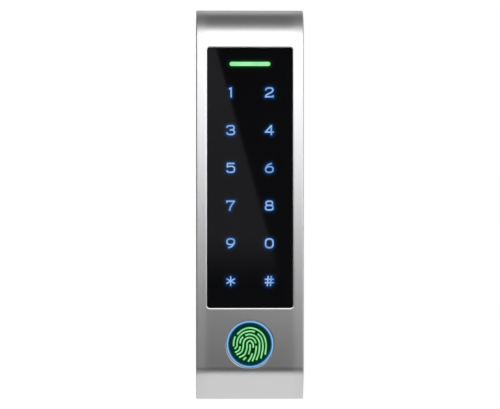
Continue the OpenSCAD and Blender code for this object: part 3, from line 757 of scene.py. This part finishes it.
@dataclass
class FrontCase:
    """The metal casting: rounded top, flat front with its openings, sloping chin, hollow back."""

    top_r: float = 0.015
    chin_h: float = 0.013
    chin_d: float = 0.011
    rim_d: float = 0.0008
    crease_r: float = 0.0075
    edge_r: float = 0.0007
    window_edge: float = 0.0005
    window_r: float = 0.00135
    sensor_r: float = 0.01105
    sensor_edge: float = 0.00045
    relief_h: float = 0.0055
    relief_turn: float = 20
    pocket_d: float = 0.0046
    head_pocket: Point = (0.0039, -0.0882)
    shank_pocket: Point = (0.0019, -0.0862)
    opening_r: float = 0.0012
    opening_d: Point = (0.017, 0.0225)
    rear_wall: float = 0.002
    side_wall: float = 0.0038
    front_wall: float = 0.0026
    gap: float = 0.00015
    ledge: float = 0.0022
    box: tuple[Vector, Vector] = field(default_factory=lambda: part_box("front_case"))

    def profile(self) -> list[Point]:
        """The side view's outline as depths and heights, with its corners rounded.

        Returns:
            Points round the outline.
        """
        low, high, front = self.box[0].z, self.box[1].z, -self.box[0].y
        relief = high - self.relief_h
        lean = self.rim_d + self.relief_h * math.tan(math.radians(self.relief_turn))
        corners = [
            (self.rim_d, low, 0.0008, 4),
            (self.chin_d, low, 0.0011, 6),
            (front, low + self.chin_h, self.crease_r, 10),
            (front, high, self.top_r, 32),
            (lean, high, 0.0009, 4),
            (self.rim_d, relief, 0.0009, 3),
        ]
        outline: list[Point] = []
        for i, (d, z, radius, steps) in enumerate(corners):
            here = Vector((d, z))
            before = (Vector(corners[i - 1][:2]) - here).normalized()
            after = (Vector(corners[(i + 1) % len(corners)][:2]) - here).normalized()
            half = before.angle(after) / 2
            centre = here + (before + after).normalized() * (radius / math.sin(half))
            start = here + before * (radius / math.tan(half)) - centre
            turn = start.angle_signed(here + after * (radius / math.tan(half)) - centre)
            for k in range(steps + 1):
                arm = start.copy()
                arm.rotate(Matrix.Rotation(-turn * k / steps, 2))
                outline.append(tuple(centre + arm))
        return outline

    def shell(self) -> Mesh:
        """The outside: the outline swept across the width, drawn in at both sides for round edges.

        Returns:
            A closed mesh.
        """
        outline = self.profile()
        count = len(outline)
        inward = []
        for i in range(count):
            before = Vector(outline[i]) - Vector(outline[i - 1])
            after = Vector(outline[(i + 1) % count]) - Vector(outline[i])
            along = before.normalized() + after.normalized()
            inward.append(Vector((-along.y, along.x)).normalized())
        half_w, steps, rings = self.box[1].x, 8, []
        turns = [90 * k / steps for k in range(steps + 1)]
        for side, order in ((-1, turns[::-1]), (1, turns)):
            for turn in order:
                a = math.radians(turn)
                x = side * (half_w - self.edge_r * (1 - math.sin(a)))
                inset = self.edge_r * (1 - math.cos(a))
                moved = [(d + n.x * inset, z + n.y * inset) for (d, z), n in zip(outline, inward)]
                rings.append([(x, -d, z) for d, z in moved])
        return loft("case", rings)

    def window(self) -> Mesh:
        """Cutter for the panel's seat, with a small round lip at the front face.

        Returns:
            A closed mesh.
        """
        centre, half = face_of("touch_panel")
        front, seat = -self.box[0].y, -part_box("touch_panel")[1].y - 0.0002
        size = (half[0] + self.gap, half[1] + self.gap)
        lip = ((0.0, 0.5), (0.06, 0.27), (0.5, 0.14), (1.0, 0.0))
        levels = [(0.0, seat), *((self.window_edge * g, front - self.window_edge * d) for g, d in lip)]
        levels.append((self.window_edge, front + 0.001))
        rings = [at_depth(rounded(*size, self.window_r, grow), depth, centre) for grow, depth in levels]
        return loft("window", rings)

    def sensor_hole(self) -> Mesh:
        """Cutter for the ring's hole, with a small round lip at the front face.

        Returns:
            A closed mesh.
        """
        centre, front = face_of("sensor_window")[0], -self.box[0].y
        radius, edge = self.sensor_r, self.sensor_edge
        rings = [at_depth(disc(radius), front - self.front_wall - 0.001, centre)]
        for k in range(9):
            a = math.radians(11.25 * k)
            grow, depth = edge * (1 - math.cos(a)), front - edge + edge * math.sin(a)
            rings.append(at_depth(disc(radius + grow), depth, centre))
        rings.append(at_depth(disc(radius + edge), front + 0.001, centre))
        return loft("sensor_hole", rings)

    def bays(self) -> list[Mesh]:
        """Cutters for the hollow back, as blocks.

        Returns:
            Closed meshes.
        """
        wide, narrow = self.box[1].x - self.rear_wall, self.box[1].x - self.side_wall
        high = self.box[1].z
        ledge, wall = 0.0074, -self.box[0].y - self.front_wall
        # rear cover, boards, sensor, step between them, hooks, tab, and the plate itself
        blocks = [
            ((-wide, -0.001, -0.0822), (wide, ledge, 0.0797)),
            ((-narrow, ledge - 0.001, -0.048), (narrow, 0.018, 0.0768)),
            ((-narrow, ledge - 0.001, -0.079), (narrow, wall, -0.0495)),
            ((-narrow, ledge - 0.001, -0.0794), (narrow, 0.014, -0.047)),
            ((-wide, -0.001, 0.0807), (wide, 0.012, high - 0.002)),
            ((-wide, -0.001, -0.0867), (wide, 0.0096, -0.0838)),
            ((-wide, -0.001, -high + 0.003), (wide, 0.0032, high - 0.003)),
        ]
        return [box_mesh("bay", low, far) for low, far in blocks]

    def pocket(self, radius: float, low: float, high: float) -> Mesh:
        """A round-ended slot up the underside, open to the wall.

        Args:
            radius: half the slot's width.
            low: its lower end.
            high: its upper end.

        Returns:
            A closed mesh.
        """
        turns = [math.pi * k / 16 for k in range(17)]
        arc = [(radius * math.cos(a), self.pocket_d + radius * math.sin(a)) for a in turns]
        outline = [(radius, -0.001), *arc, (-radius, -0.001)]
        return loft("pocket", [[(x, -d, z) for x, d in outline] for z in (low, high)])

    def posts(self) -> list[Mesh]:
        """The lip that hangs on the plate's hooks, and the posts that the screws go into.

        Returns:
            Closed meshes.
        """
        made = [box_mesh("lip", (-0.02, 0.0048, 0.0843), (0.02, 0.0068, 0.0900))]
        # x, height, radius, depth of its end, depth of its root, radius of its hole
        rows = [(COVER_X, z, 0.0025, 0.0066, 0.0183, 0.00125) for z in COVER_Z]
        rows += [(COVER_X, z, 0.0023, 0.0102, 0.0183, 0.001) for z in BOARD_Z]
        rows += [(CLAMP_X, z, 0.0022, 0.0122, 0.0196, 0.001) for z in CLAMP_Z]
        for x, z, radius, start, end, hole in rows:
            for side in (-1, 1):
                deep = min(start + 0.0065, end - 0.0004)
                wall = [(hole, deep), (hole, start), (radius, start), (radius, end)]
                rings = [at_depth(disc(r, 24), d, (side * x, z)) for r, d in wall]
                made.append(loft("post", rings))
        return made

    def build(self) -> Thing:
        """Builds the case and dresses it.

        Returns:
            The piece.
        """
        piece = new_object("case_casting", self.shell())
        low_z = self.box[0].z
        for cutter in (self.window(), self.sensor_hole(), *self.bays()):
            carve(piece, cutter)
        middle, half = face_of("touch_panel")
        centre = (0.0, middle[1])
        through = rounded(half[0] - self.ledge, half[1] - self.ledge, self.opening_r)
        carve(piece, loft("opening", [at_depth(through, depth, centre) for depth in self.opening_d]))
        carve(piece, self.pocket(self.head_pocket[0], low_z - 0.001, self.head_pocket[1]))
        carve(piece, self.pocket(self.shank_pocket[0], low_z - 0.0005, self.shank_pocket[1]))
        add_shells(piece, self.posts())
        soften(piece, 12.5)
        dress(piece, Palette.CASE)
        return place(piece, "head", "satin_metal", "front_case")


# ---- Black panels with light that leaks round their inlays ----


@dataclass
class BlackPanel:
    """A gloss black plate whose front carries how much painted glow lies round each inlay."""

    node: str
    name: str
    radius: float
    blue_from: Thing
    green_from: Thing
    finish: Palette
    pitch: float = 0.0003
    reach: float = 0.00042
    bezel: float = 0.00018
    sink: float = 0.00002
    fill: float = 0.0

    def _front(self) -> tuple[list[Point], int, int, Point]:
        """A grid over the front whose corners follow the round outline.

        Returns:
            The grid's points, its columns and rows, and its middle.
        """
        centre, half = face_of(self.node)
        columns, rows = (max(8, round(2 * h / self.pitch)) for h in half)
        flat_half = (half[0] - self.bezel, half[1] - self.bezel)
        corner = min(self.radius - self.bezel, *flat_half)
        grid = []
        for j in range(rows + 1):
            for i in range(columns + 1):
                x = (2 * i / columns - 1) * flat_half[0]
                z = (2 * j / rows - 1) * flat_half[1]
                u, v = (abs(x) - flat_half[0] + corner) / corner, (abs(z) - flat_half[1] + corner) / corner
                if u > 0 and v > 0:
                    x = math.copysign(flat_half[0] - corner + corner * u * math.sqrt(1 - v * v / 2), x)
                    z = math.copysign(flat_half[1] - corner + corner * v * math.sqrt(1 - u * u / 2), z)
                grid.append((x, z))
        return grid, columns, rows, centre

    def _leak(self, mesh: Mesh, name: str, source: Thing) -> None:
        """Writes how much painted glow from a source reaches each point of the front, fading with the
        distance.

        Args:
            mesh: the panel's mesh.
            name: the attribute's name.
            source: the object that gives the light.
        """
        # Painted glow: each point gets less the farther it lies from the source's nearest face.
        tree = BVHTree.FromPolygons(
            [v.co.copy() for v in source.data.vertices], [tuple(p.vertices) for p in source.data.polygons]
        )
        glow = mesh.attributes.new(name, "FLOAT", "POINT")
        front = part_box(self.node)[0].y
        values = []
        for vertex in mesh.vertices:
            near = tree.find_nearest(Vector((vertex.co.x, front, vertex.co.z)), 0.004)
            away = near[3] if near[0] is not None else 0.004
            values.append(math.exp(-away / self.reach) + self.fill * math.exp(-away / (5 * self.reach)))
        glow.data.foreach_set("value", values)

    def build(self) -> Thing:
        """Builds the plate and dresses it.

        Returns:
            The piece.
        """
        grid, columns, rows, centre = self._front()
        low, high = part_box(self.node)
        front, back = -low.y - self.sink, -high.y
        points = at_depth(grid, front, centre)
        across = columns + 1
        faces = [
            (j * across + i, j * across + i + 1, (j + 1) * across + i + 1, (j + 1) * across + i)
            for j in range(rows)
            for i in range(columns)
        ]
        rim = list(range(across)) + [j * across + columns for j in range(1, rows + 1)]
        rim += [rows * across + i for i in range(columns - 1, -1, -1)]
        rim += [j * across for j in range(rows - 1, 0, -1)]
        outline = [grid[k] for k in rim]
        round_edge = ((0.55, 0.15), (0.9, 0.5), (1.0, 1.0))
        bevel = [(grow, front - depth * self.bezel) for grow, depth in round_edge]
        last = rim
        for grow, depth in (*bevel, (1.0, back)):
            start = len(points)
            points += at_depth(self._grown(outline, grow * self.bezel), depth, centre)
            here = list(range(start, start + len(outline)))
            faces += [(last[k - 1], last[k], here[k], here[k - 1]) for k in range(len(here))]
            last = here
        faces.append(tuple(last))
        piece = new_object(self.name, mesh_of(self.name, points, faces))
        self._leak(piece.data, "leak_blue", self.blue_from)
        self._leak(piece.data, "leak_green", self.green_from)
        soften(piece, 12.0)
        dress(piece, self.finish)
        return place(piece, "head", "gloss_black", self.node)

    @staticmethod
    def _grown(ring: Sequence[Point], grow: float) -> list[Point]:
        """A ring of points moved outwards.

        Args:
            ring: points, anticlockwise.
            grow: the distance.

        Returns:
            The moved points.
        """
        moved = []
        for i, (x, z) in enumerate(ring):
            before, after = ring[i - 1], ring[(i + 1) % len(ring)]
            along = Vector((after[0] - before[0], after[1] - before[1])).normalized()
            moved.append((x + along.y * grow, z - along.x * grow))
        return moved


@dataclass
class Inlay:
    """Lit strokes in a black panel, a little slimmer than their pockets; the glow round them is painted on
    the panel.
    """

    node: str
    name: str
    slot: str
    finish: Palette
    slim: float

    def build(self) -> Thing:
        """Moves the strokes' walls inwards and dresses them.

        Returns:
            The piece.
        """
        work = bmesh.new()
        work.from_mesh(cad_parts[self.node].data)
        bmesh.ops.remove_doubles(work, verts=work.verts, dist=1e-7)
        work.normal_update()
        moves = []
        for vertex in work.verts:
            walls: list[Vector] = []
            for face in vertex.link_faces:
                flat = Vector((face.normal.x, 0.0, face.normal.z))
                if flat.length > 0.5 and all(flat.dot(wall) < 0.9999 for wall in walls):
                    walls.append(flat.normalized())
            out = sum(walls, Vector()).normalized()
            share = max(0.6, min((out.dot(wall) for wall in walls), default=1.0))
            moves.append(out * (self.slim / share))
        for vertex, move in zip(work.verts, moves):
            vertex.co -= move
        mesh = bpy.data.meshes.new(self.name)
        work.to_mesh(mesh)
        work.free()
        piece = new_object(self.name, mesh)
        soften(piece)
        dress(piece, self.finish)
        return place(piece, "head", self.slot, self.node)


# ---- Things that repeat, made with Geometry Nodes ----


class Layout(Tree):
    """A Geometry Nodes tree that sets copies of one part on points, or draws a bar along a path."""

    prefix = "GeometryNode"

    def __init__(self, name: str, **sizes: str) -> None:
        """Makes a tree with a geometry going in, one coming out, and named inputs of given kinds."""
        super().__init__(bpy.data.node_groups.new(name, "GeometryNodeTree"))
        face = self.tree.interface
        face.new_socket("Geometry", in_out="INPUT", socket_type="NodeSocketGeometry")
        face.new_socket("Geometry", in_out="OUTPUT", socket_type="NodeSocketGeometry")
        self.sizes: dict[str, str] = {}
        for size, kind in sizes.items():
            socket = face.new_socket(size, in_out="INPUT", socket_type="NodeSocket" + kind)
            self.sizes[size] = socket.identifier
        self.inside = self.tree.nodes.new("NodeGroupInput")
        self.outside = self.tree.nodes.new("NodeGroupOutput")

    def close(self, shape: Socket) -> None:
        """Ends the tree in real geometry that has its material."""
        real = self.node("RealizeInstances", values={"Geometry": shape})
        values = {"Geometry": real.outputs[0], "Material": self.inside.outputs["Finish"]}
        painted = self.node("SetMaterial", values=values)
        self.tree.links.new(painted.outputs[0], self.outside.inputs[0])

    def run(self, name: str, seed_mesh: Mesh, inputs: dict[str, object]) -> Thing:
        """Runs the tree on a mesh and keeps the result as a plain mesh.

        Args:
            name: the new object's name.
            seed_mesh: the points or path that the tree works on.
            inputs: values of the named inputs.

        Returns:
            The finished object.
        """
        seed = new_object(name + "_seed", seed_mesh)
        work = seed.modifiers.new("layout", "NODES")
        work.node_group = self.tree
        for key, value in inputs.items():
            work[self.sizes[key]] = value
        seed.update_tag()
        made = bpy.data.meshes.new_from_object(seed.evaluated_get(bpy.context.evaluated_depsgraph_get()))
        made.name = name
        seed.modifiers.clear()
        bpy.data.objects.remove(seed)
        return new_object(name, made)


def copies_layout() -> Layout:
    """The tree that sets copies of a part on the points of a mesh.

    Returns:
        The layout, with inputs Part, Turn and Finish.
    """
    layout = Layout("copies_on_points", Part="Object", Turn="Vector", Finish="Material")
    given = layout.inside.outputs
    part = layout.node("ObjectInfo", values={"Object": given["Part"], "As Instance": True})
    spots = layout.node("MeshToPoints", values={"Mesh": given["Geometry"]})
    values = {"Points": spots.outputs[0], "Instance": part.outputs["Geometry"], "Rotation": given["Turn"]}
    layout.close(layout.node("InstanceOnPoints", values=values).outputs[0])
    return layout


def track_layout() -> Layout:
    """The tree that draws a flat track along a path.

    Returns:
        The layout, with inputs Width, Thickness and Finish.
    """
    layout = Layout("track_on_path", Width="Float", Thickness="Float", Finish="Material")
    given = layout.inside.outputs
    path = layout.node("MeshToCurve", values={"Mesh": given["Geometry"]})
    sizes = {"Width": given["Width"], "Height": given["Thickness"]}
    bar = layout.node("CurvePrimitiveQuadrilateral", values=sizes)
    values = {"Curve": path.outputs[0], "Profile Curve": bar.outputs[0], "Fill Caps": True}
    layout.close(layout.node("CurveToMesh", values=values).outputs[0])
    return layout


class Drive(Enum):
    """The socket in a screw's head, as its number of flats."""

    HEX = 6
    LOBED = 12


@dataclass
class Repeated:
    """A node whose equal parts stand on spots, on the rear face of its box."""

    node: str
    spots: Sequence[Point]

    def set_out(self, layout: Layout, part: Mesh, turn: Colour, finish: Palette, slot: str) -> Thing:
        """Sets a copy of a part on every spot, and dresses them.

        Args:
            layout: the tree that sets copies on points.
            part: the part, which is then thrown away.
            turn: how each copy is turned.
            finish: its finish.
            slot: passed on to place, which doesn't use it.

        Returns:
            The piece.
        """
        template, back = new_object("template", part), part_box(self.node)[1].y
        seed = mesh_of("spots", [(x, back, z) for x, z in self.spots], [])
        inputs = {"Part": template, "Turn": turn, "Finish": finish.material()}
        piece = layout.run(self.node + "_set", seed, inputs)
        bpy.data.objects.remove(template)
        soften(piece)
        return place(piece, "head", slot, self.node)

    def thickness(self) -> float:
        """How deep the node is."""
        low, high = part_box(self.node)
        return high.y - low.y


@dataclass
class ScrewSet(Repeated):
    """Equal screws that all point to the front, with their heads towards the wall."""

    head_r: float
    head_t: float
    shank_r: float
    socket_r: float
    drive: Drive = Drive.HEX

    def screw(self, length: float) -> Mesh:
        """One screw along +Y, with its head's top at the origin.

        Args:
            length: from the head's top to the shank's end.

        Returns:
            A closed mesh.
        """
        sides = 24
        dome = [(0.55, 0.0), (0.8, 0.06), (0.94, 0.22), (1.0, 0.5), (1.0, 1.0)]
        wall = [(self.head_r * r, self.head_t * y) for r, y in dome]
        pitch = self.shank_r * 0.5
        wall.append((self.shank_r, self.head_t))
        y = self.head_t + pitch
        while y < length - 2 * pitch:
            wall += [(self.shank_r * 0.88, y), (self.shank_r, y + 0.5 * pitch)]
            y += pitch
        wall += [(self.shank_r, length - pitch), (self.shank_r * 0.7, length)]
        flats = [self._socket(k, sides) for k in range(sides)]
        rings = [[(x, self.head_t * 0.6, z) for x, z in flats], [(x, 0.0, z) for x, z in flats]]
        rings += [[(x, y, z) for x, z in disc(r, sides)] for r, y in wall]
        return loft("screw", rings)

    def _socket(self, k: int, sides: int) -> Point:
        """One point of the socket's outline."""
        a = math.tau * k / sides
        if self.drive is Drive.HEX:
            sixth = math.pi / 6
            r = self.socket_r * math.cos(sixth) / math.cos((a + sixth) % (2 * sixth) - sixth)
        else:
            r = self.socket_r * (0.87 + 0.13 * math.cos(6 * a))
        return r * math.cos(a), r * math.sin(a)

    def build(self, layout: Layout) -> Thing:
        """Sets out the screws with the tree that sets copies."""
        screw = self.screw(self.thickness())
        return self.set_out(layout, screw, (math.pi, 0.0, 0.0), Palette.SCREW, "screw_steel")


@dataclass
class LampSet(Repeated):
    """Equal small lamps on a board: a body with a domed lens that faces the front."""

    size: Point = (0.0016, 0.0008)

    def lamp(self, thick: float) -> Mesh:
        """One lamp along -Y, with its back at the origin.

        Args:
            thick: its thickness.

        Returns:
            A closed mesh.
        """
        half = (self.size[0] / 2, self.size[1] / 2)
        levels = [(1.0, 0.0), (1.0, 0.55), (0.82, 0.58), (0.72, 0.85), (0.4, 1.0)]
        corner = half[1] * 0.3
        outlines = [(rounded(half[0] * s, half[1] * s, corner * s, steps=2), d) for s, d in levels]
        rings = [at_depth(outline, thick * d) for outline, d in outlines]
        return loft("lamp", rings)

    def build(self, layout: Layout) -> Thing:
        """Sets out the lamps with the tree that sets copies."""
        lamp = self.lamp(self.thickness())
        return self.set_out(layout, lamp, (0.0, 0.0, 0.0), Palette.LENS, "led_lens")


@dataclass
class AntennaCoil:
    """The card reader's coil: copper turns one inside the other on the touch board's back."""

    turns: int = 4
    width: float = 0.00028
    thick: float = 0.00012

    def build(self, layout: Layout) -> Thing:
        """Draws the turns as one long path, and dresses them.

        Args:
            layout: the tree that draws a track along a path.

        Returns:
            The piece.
        """
        (centre, size), depth = face_of("card_antenna"), -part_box("card_antenna")[1].y + 0.00015
        points: list[Colour] = []
        for turn in range(self.turns):
            inset = 0.0003 + turn * 0.00042
            half = (size[0] - inset, size[1] - inset)
            points += at_depth(rounded(*half, 0.0018 - 0.0003 * turn), depth, centre)
        seed = bpy.data.meshes.new("path")
        seed.from_pydata(points, [(k, k + 1) for k in range(len(points) - 1)], [])
        inputs = {"Width": self.width, "Thickness": self.thick, "Finish": Palette.COPPER.material()}
        piece = layout.run("antenna_turns", seed, inputs)
        soften(piece)
        return place(piece, "head", "copper_track", "card_antenna")


# ---- Nodes that keep their shape ----


@dataclass
class KeptNodes:
    """Packed nodes whose shape is right: the names of the nodes in each finish."""

    finishes: dict[Palette, str] = field(
        default_factory=lambda: {
            Palette.PLATE: "mounting_plate sensor_clamp",
            Palette.SCREW: "lock_washer lock_screw",
            Palette.SOFT_BLACK: "rear_cover board_spacer sensor_carrier",
            Palette.RUBBER: "rear_seal cable_grommet ring_seal",
            Palette.FOAM: "panel_adhesive",
            Palette.WHITE: "light_baffle cable_header",
            Palette.CHIP: "touch_chip processor memory_chip card_reader_chip buzzer tamper_sensor",
            Palette.RELAY: "door_relay",
            Palette.IVORY: "flex_sockets",
            Palette.FERRITE: "power_inductor",
            Palette.SLATE: "sensor_chip",
            Palette.LABEL: "rear_label",
            Palette.BAR_LIGHT: "status_bar",
            Palette.RING_LIGHT: "ring_light",
            Palette.BOARD_GREEN: "main_board",
            Palette.BOARD_BLACK: "touch_board sensor_board",
            Palette.CAN: "filter_capacitors",
            Palette.CELL: "clock_cell",
            Palette.SPRING: "cell_clip",
            Palette.FLEX: "board_flex sensor_flex",
        }
    )

    def build(self) -> None:
        """Gives each node its finish."""
        for finish, names in self.finishes.items():
            for name in names.split():
                dress(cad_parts[name], finish)
                LOG.info("%s: kept, in %s", name, finish.value.name)


# ---- Studio ----


@dataclass
class Studio:
    """Pale floor, soft lamps, the air round them, and the camera."""

    camera_place: Colour = (-0.019, -1.172, 0.0)
    camera_aim: Colour = (0.0, -0.022, 0.0)
    lens: float = 178.6
    floor_z: float = -0.17
    floor_r: float = 0.25
    floor_y: float = 0.127
    dark_pieces: tuple[str, ...] = (
        "touch_panel_glass",
        "sensor_window_glass",
        "legend_inlays",
        "symbol_inlays",
    )
    lit_nodes: tuple[str, ...] = ("status_bar", "ring_light")

    def floor(self) -> None:
        """A round floor under the terminal."""
        edge = [(self.floor_r * x, self.floor_r * y + self.floor_y) for x, y in disc(1.0)]
        rings = [[(x, y, self.floor_z + z) for x, y in edge] for z in (-0.004, 0.0)]
        floor = new_object("studio_floor", loft("studio_floor", rings))
        floor.data.materials.append(PaleFloor("pale_floor").material())

    def lamp(self, name: str, at: Colour, lean: float, roll: float, half: Point, level: float) -> Thing:
        """Adds a soft rectangular lamp that faces +Y before it leans and rolls.

        Args:
            name: its name.
            at: its middle.
            lean: radians that its top leans towards +Y.
            roll: radians that it is then turned in its own plane.
            half: half its width and half its height.
            level: how bright its face is.

        Returns:
            The lamp.
        """
        light = bpy.data.lights.new(name, "AREA")
        light.shape, light.size, light.size_y = "RECTANGLE", 2 * half[0], 2 * half[1]
        light.energy = level * math.pi * light.size * light.size_y
        made = new_object(name, light)
        upright = Matrix.Rotation(math.pi / 2, 4, "X")
        made.matrix_world = (
            Matrix.Translation(at) @ Matrix.Rotation(-lean, 4, "X") @ upright @ Matrix.Rotation(roll, 4, "Z")
        )
        made.visible_camera = False
        return made

    def shade(self, lamp: Thing, pieces: Iterable[Thing]) -> None:
        """Keeps a lamp's light off some pieces.

        Args:
            lamp: the lamp.
            pieces: the pieces.
        """
        shaded = bpy.data.collections.new(lamp.name + "_shaded")
        for piece in pieces:
            shaded.objects.link(piece)
        for entry in shaded.collection_objects:
            entry.light_linking.link_state = "EXCLUDE"
        lamp.light_linking.receiver_collection = shaded

    def card(self) -> None:
        """A dim card far in front, with a slanted edge, which the black panel mirrors."""
        outline = [(-0.4, -0.16), (0.0877, -0.16), (-0.0565, 0.355), (-0.4, 0.355)]
        points = [(x, -1.9, z) for x, z in outline]
        mesh = bpy.data.meshes.new("mirror_card")
        mesh.from_pydata(points, [], [(0, 1, 2, 3)])
        card = new_object("mirror_card", mesh)
        material = bpy.data.materials.new("mirror_card")
        material.use_nodes = True
        sheet = Sheet(material.node_tree)
        _, _, z = sheet.axes()
        level = z.ramp(-0.10, -0.03, 0.0, 0.19) + z.ramp(0.02, 0.26, 0.0, 0.09)
        light = sheet.node("Emission", values={"Color": (1.0, 1.0, 1.05), "Strength": level})
        sheet.node("OutputMaterial", values={"Surface": light.outputs[0]})
        mesh.materials.append(material)
        card.visible_camera = False

    def air(self) -> None:
        """White behind the terminal, dim above and in front of it."""
        world = bpy.data.worlds.new("air")
        world.use_nodes = True
        bpy.context.scene.world = world
        sheet = Sheet(world.node_tree)
        way = sheet.node("TexCoord").outputs["Generated"]
        x, y, z = (Signal(sheet, out) for out in sheet.node("SeparateXYZ", values={0: way}).outputs)
        sides = ((x + 1.0) ** 2.0 * 0.11 + 0.06) * x.size()
        level = y.most(0.0) ** 2.0 * 0.32 + z.most(0.0) ** 2.0 * 0.08 + sides + 0.004
        seen = Signal(sheet, sheet.node("LightPath").outputs["Is Camera Ray"])
        grey = sheet.node("CombineColor", values={0: level, 1: level, 2: level}).outputs[0]
        shade = sheet.mix(seen, grey, (1.0, 1.0, 1.0))
        light = sheet.node("Background", values={"Color": shade, "Strength": 1.0})
        sheet.node("OutputWorld", values={"Surface": light.outputs[0]})

    def camera(self) -> None:
        """The camera, a little left of the middle, with a long lens."""
        data = bpy.data.cameras.new("camera")
        data.lens, data.sensor_width, data.clip_start, data.clip_end = self.lens, 36.0, 0.01, 50.0
        camera = new_object("camera", data)
        camera.location = self.camera_place
        way = Vector(self.camera_aim) - Vector(self.camera_place)
        camera.rotation_euler = way.to_track_quat("-Z", "Y").to_euler()
        bpy.context.scene.camera = camera

    def build(self) -> None:
        """Sets up the whole studio."""
        self.camera()
        self.floor()
        self.air()
        self.card()
        place_of_key = (0.0567, -0.2988, 0.1938)
        key = self.lamp("key", place_of_key, lean=-0.2502, roll=-0.215, half=(0.3214, 0.1954), level=1.74)
        dark = [bpy.data.objects[name] for name in self.dark_pieces]
        self.shade(key, dark + [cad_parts[name] for name in self.lit_nodes])
        self.lamp("back", (0.0, 0.35, 0.437), lean=math.pi - 0.9, roll=0.0, half=(0.3, 0.12), level=0.42)
        self.lamp("floor_glow", (0.0, 0.03, -0.09), lean=math.pi / 2, roll=0.0, half=(0.25, 0.2), level=0.63)
        bpy.context.scene.view_settings.view_transform = "Standard"


def both_sides(x: float, heights: Sequence[float]) -> list[Point]:
    """The spots at some heights, on the left and on the right."""
    return [(side * x, z) for side in (-1, 1) for z in heights]


def main() -> None:
    """Builds every sub-assembly in order, then the studio."""
    logging.basicConfig(level=logging.INFO, format="%(name)s: %(message)s")
    KeptNodes().build()
    FrontCase().build()
    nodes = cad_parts
    legends = Inlay("key_legends", "legend_inlays", "key_light", Palette.KEY_LIGHT, 0.0001).build()
    symbol = Inlay("print_symbol", "symbol_inlays", "print_light", Palette.PRINT_LIGHT, 0.0001).build()
    BlackPanel(
        "touch_panel", "touch_panel_glass", 0.0012, legends, nodes["status_bar"], Palette.PANEL_GLASS
    ).build()
    BlackPanel(
        "sensor_window", "sensor_window_glass", 0.0097, nodes["ring_light"], symbol, Palette.SENSOR_GLASS,
        pitch=0.00022, reach=0.0004, fill=0.12,
    ).build()
    copies, track = copies_layout(), track_layout()
    cover, board = both_sides(COVER_X, COVER_Z), both_sides(COVER_X, BOARD_Z)
    clamp = both_sides(CLAMP_X, CLAMP_Z)
    for screws in (
        ScrewSet("cover_screws", cover, 0.0022, 0.0014, 0.0012, 0.0009, Drive.LOBED),
        ScrewSet("board_screws", board, 0.0019, 0.0012, 0.00095, 0.00075),
        ScrewSet("clamp_screws", clamp, 0.0018, 0.0009, 0.00095, 0.0007),
    ):
        screws.build(copies)
    across = [c * KEY_X + s * 0.002 for c in (-1, 1) for s in (-1, 1)]
    keys = [(x, KEY_TOP - KEY_STEP * row) for row in range(6) for x in across]
    ring = [(x, SENSOR_Z + z) for x, z in disc(0.0117, 8)]
    LampSet("key_leds", keys).build(copies)
    LampSet("status_leds", [(x, 0.0652) for x in (-0.006, 0.0, 0.006)], (0.0016, 0.0012)).build(copies)
    LampSet("ring_leds", ring).build(copies)
    AntennaCoil().build(track)
    Studio().build()


if __name__ == "__main__":
    main()
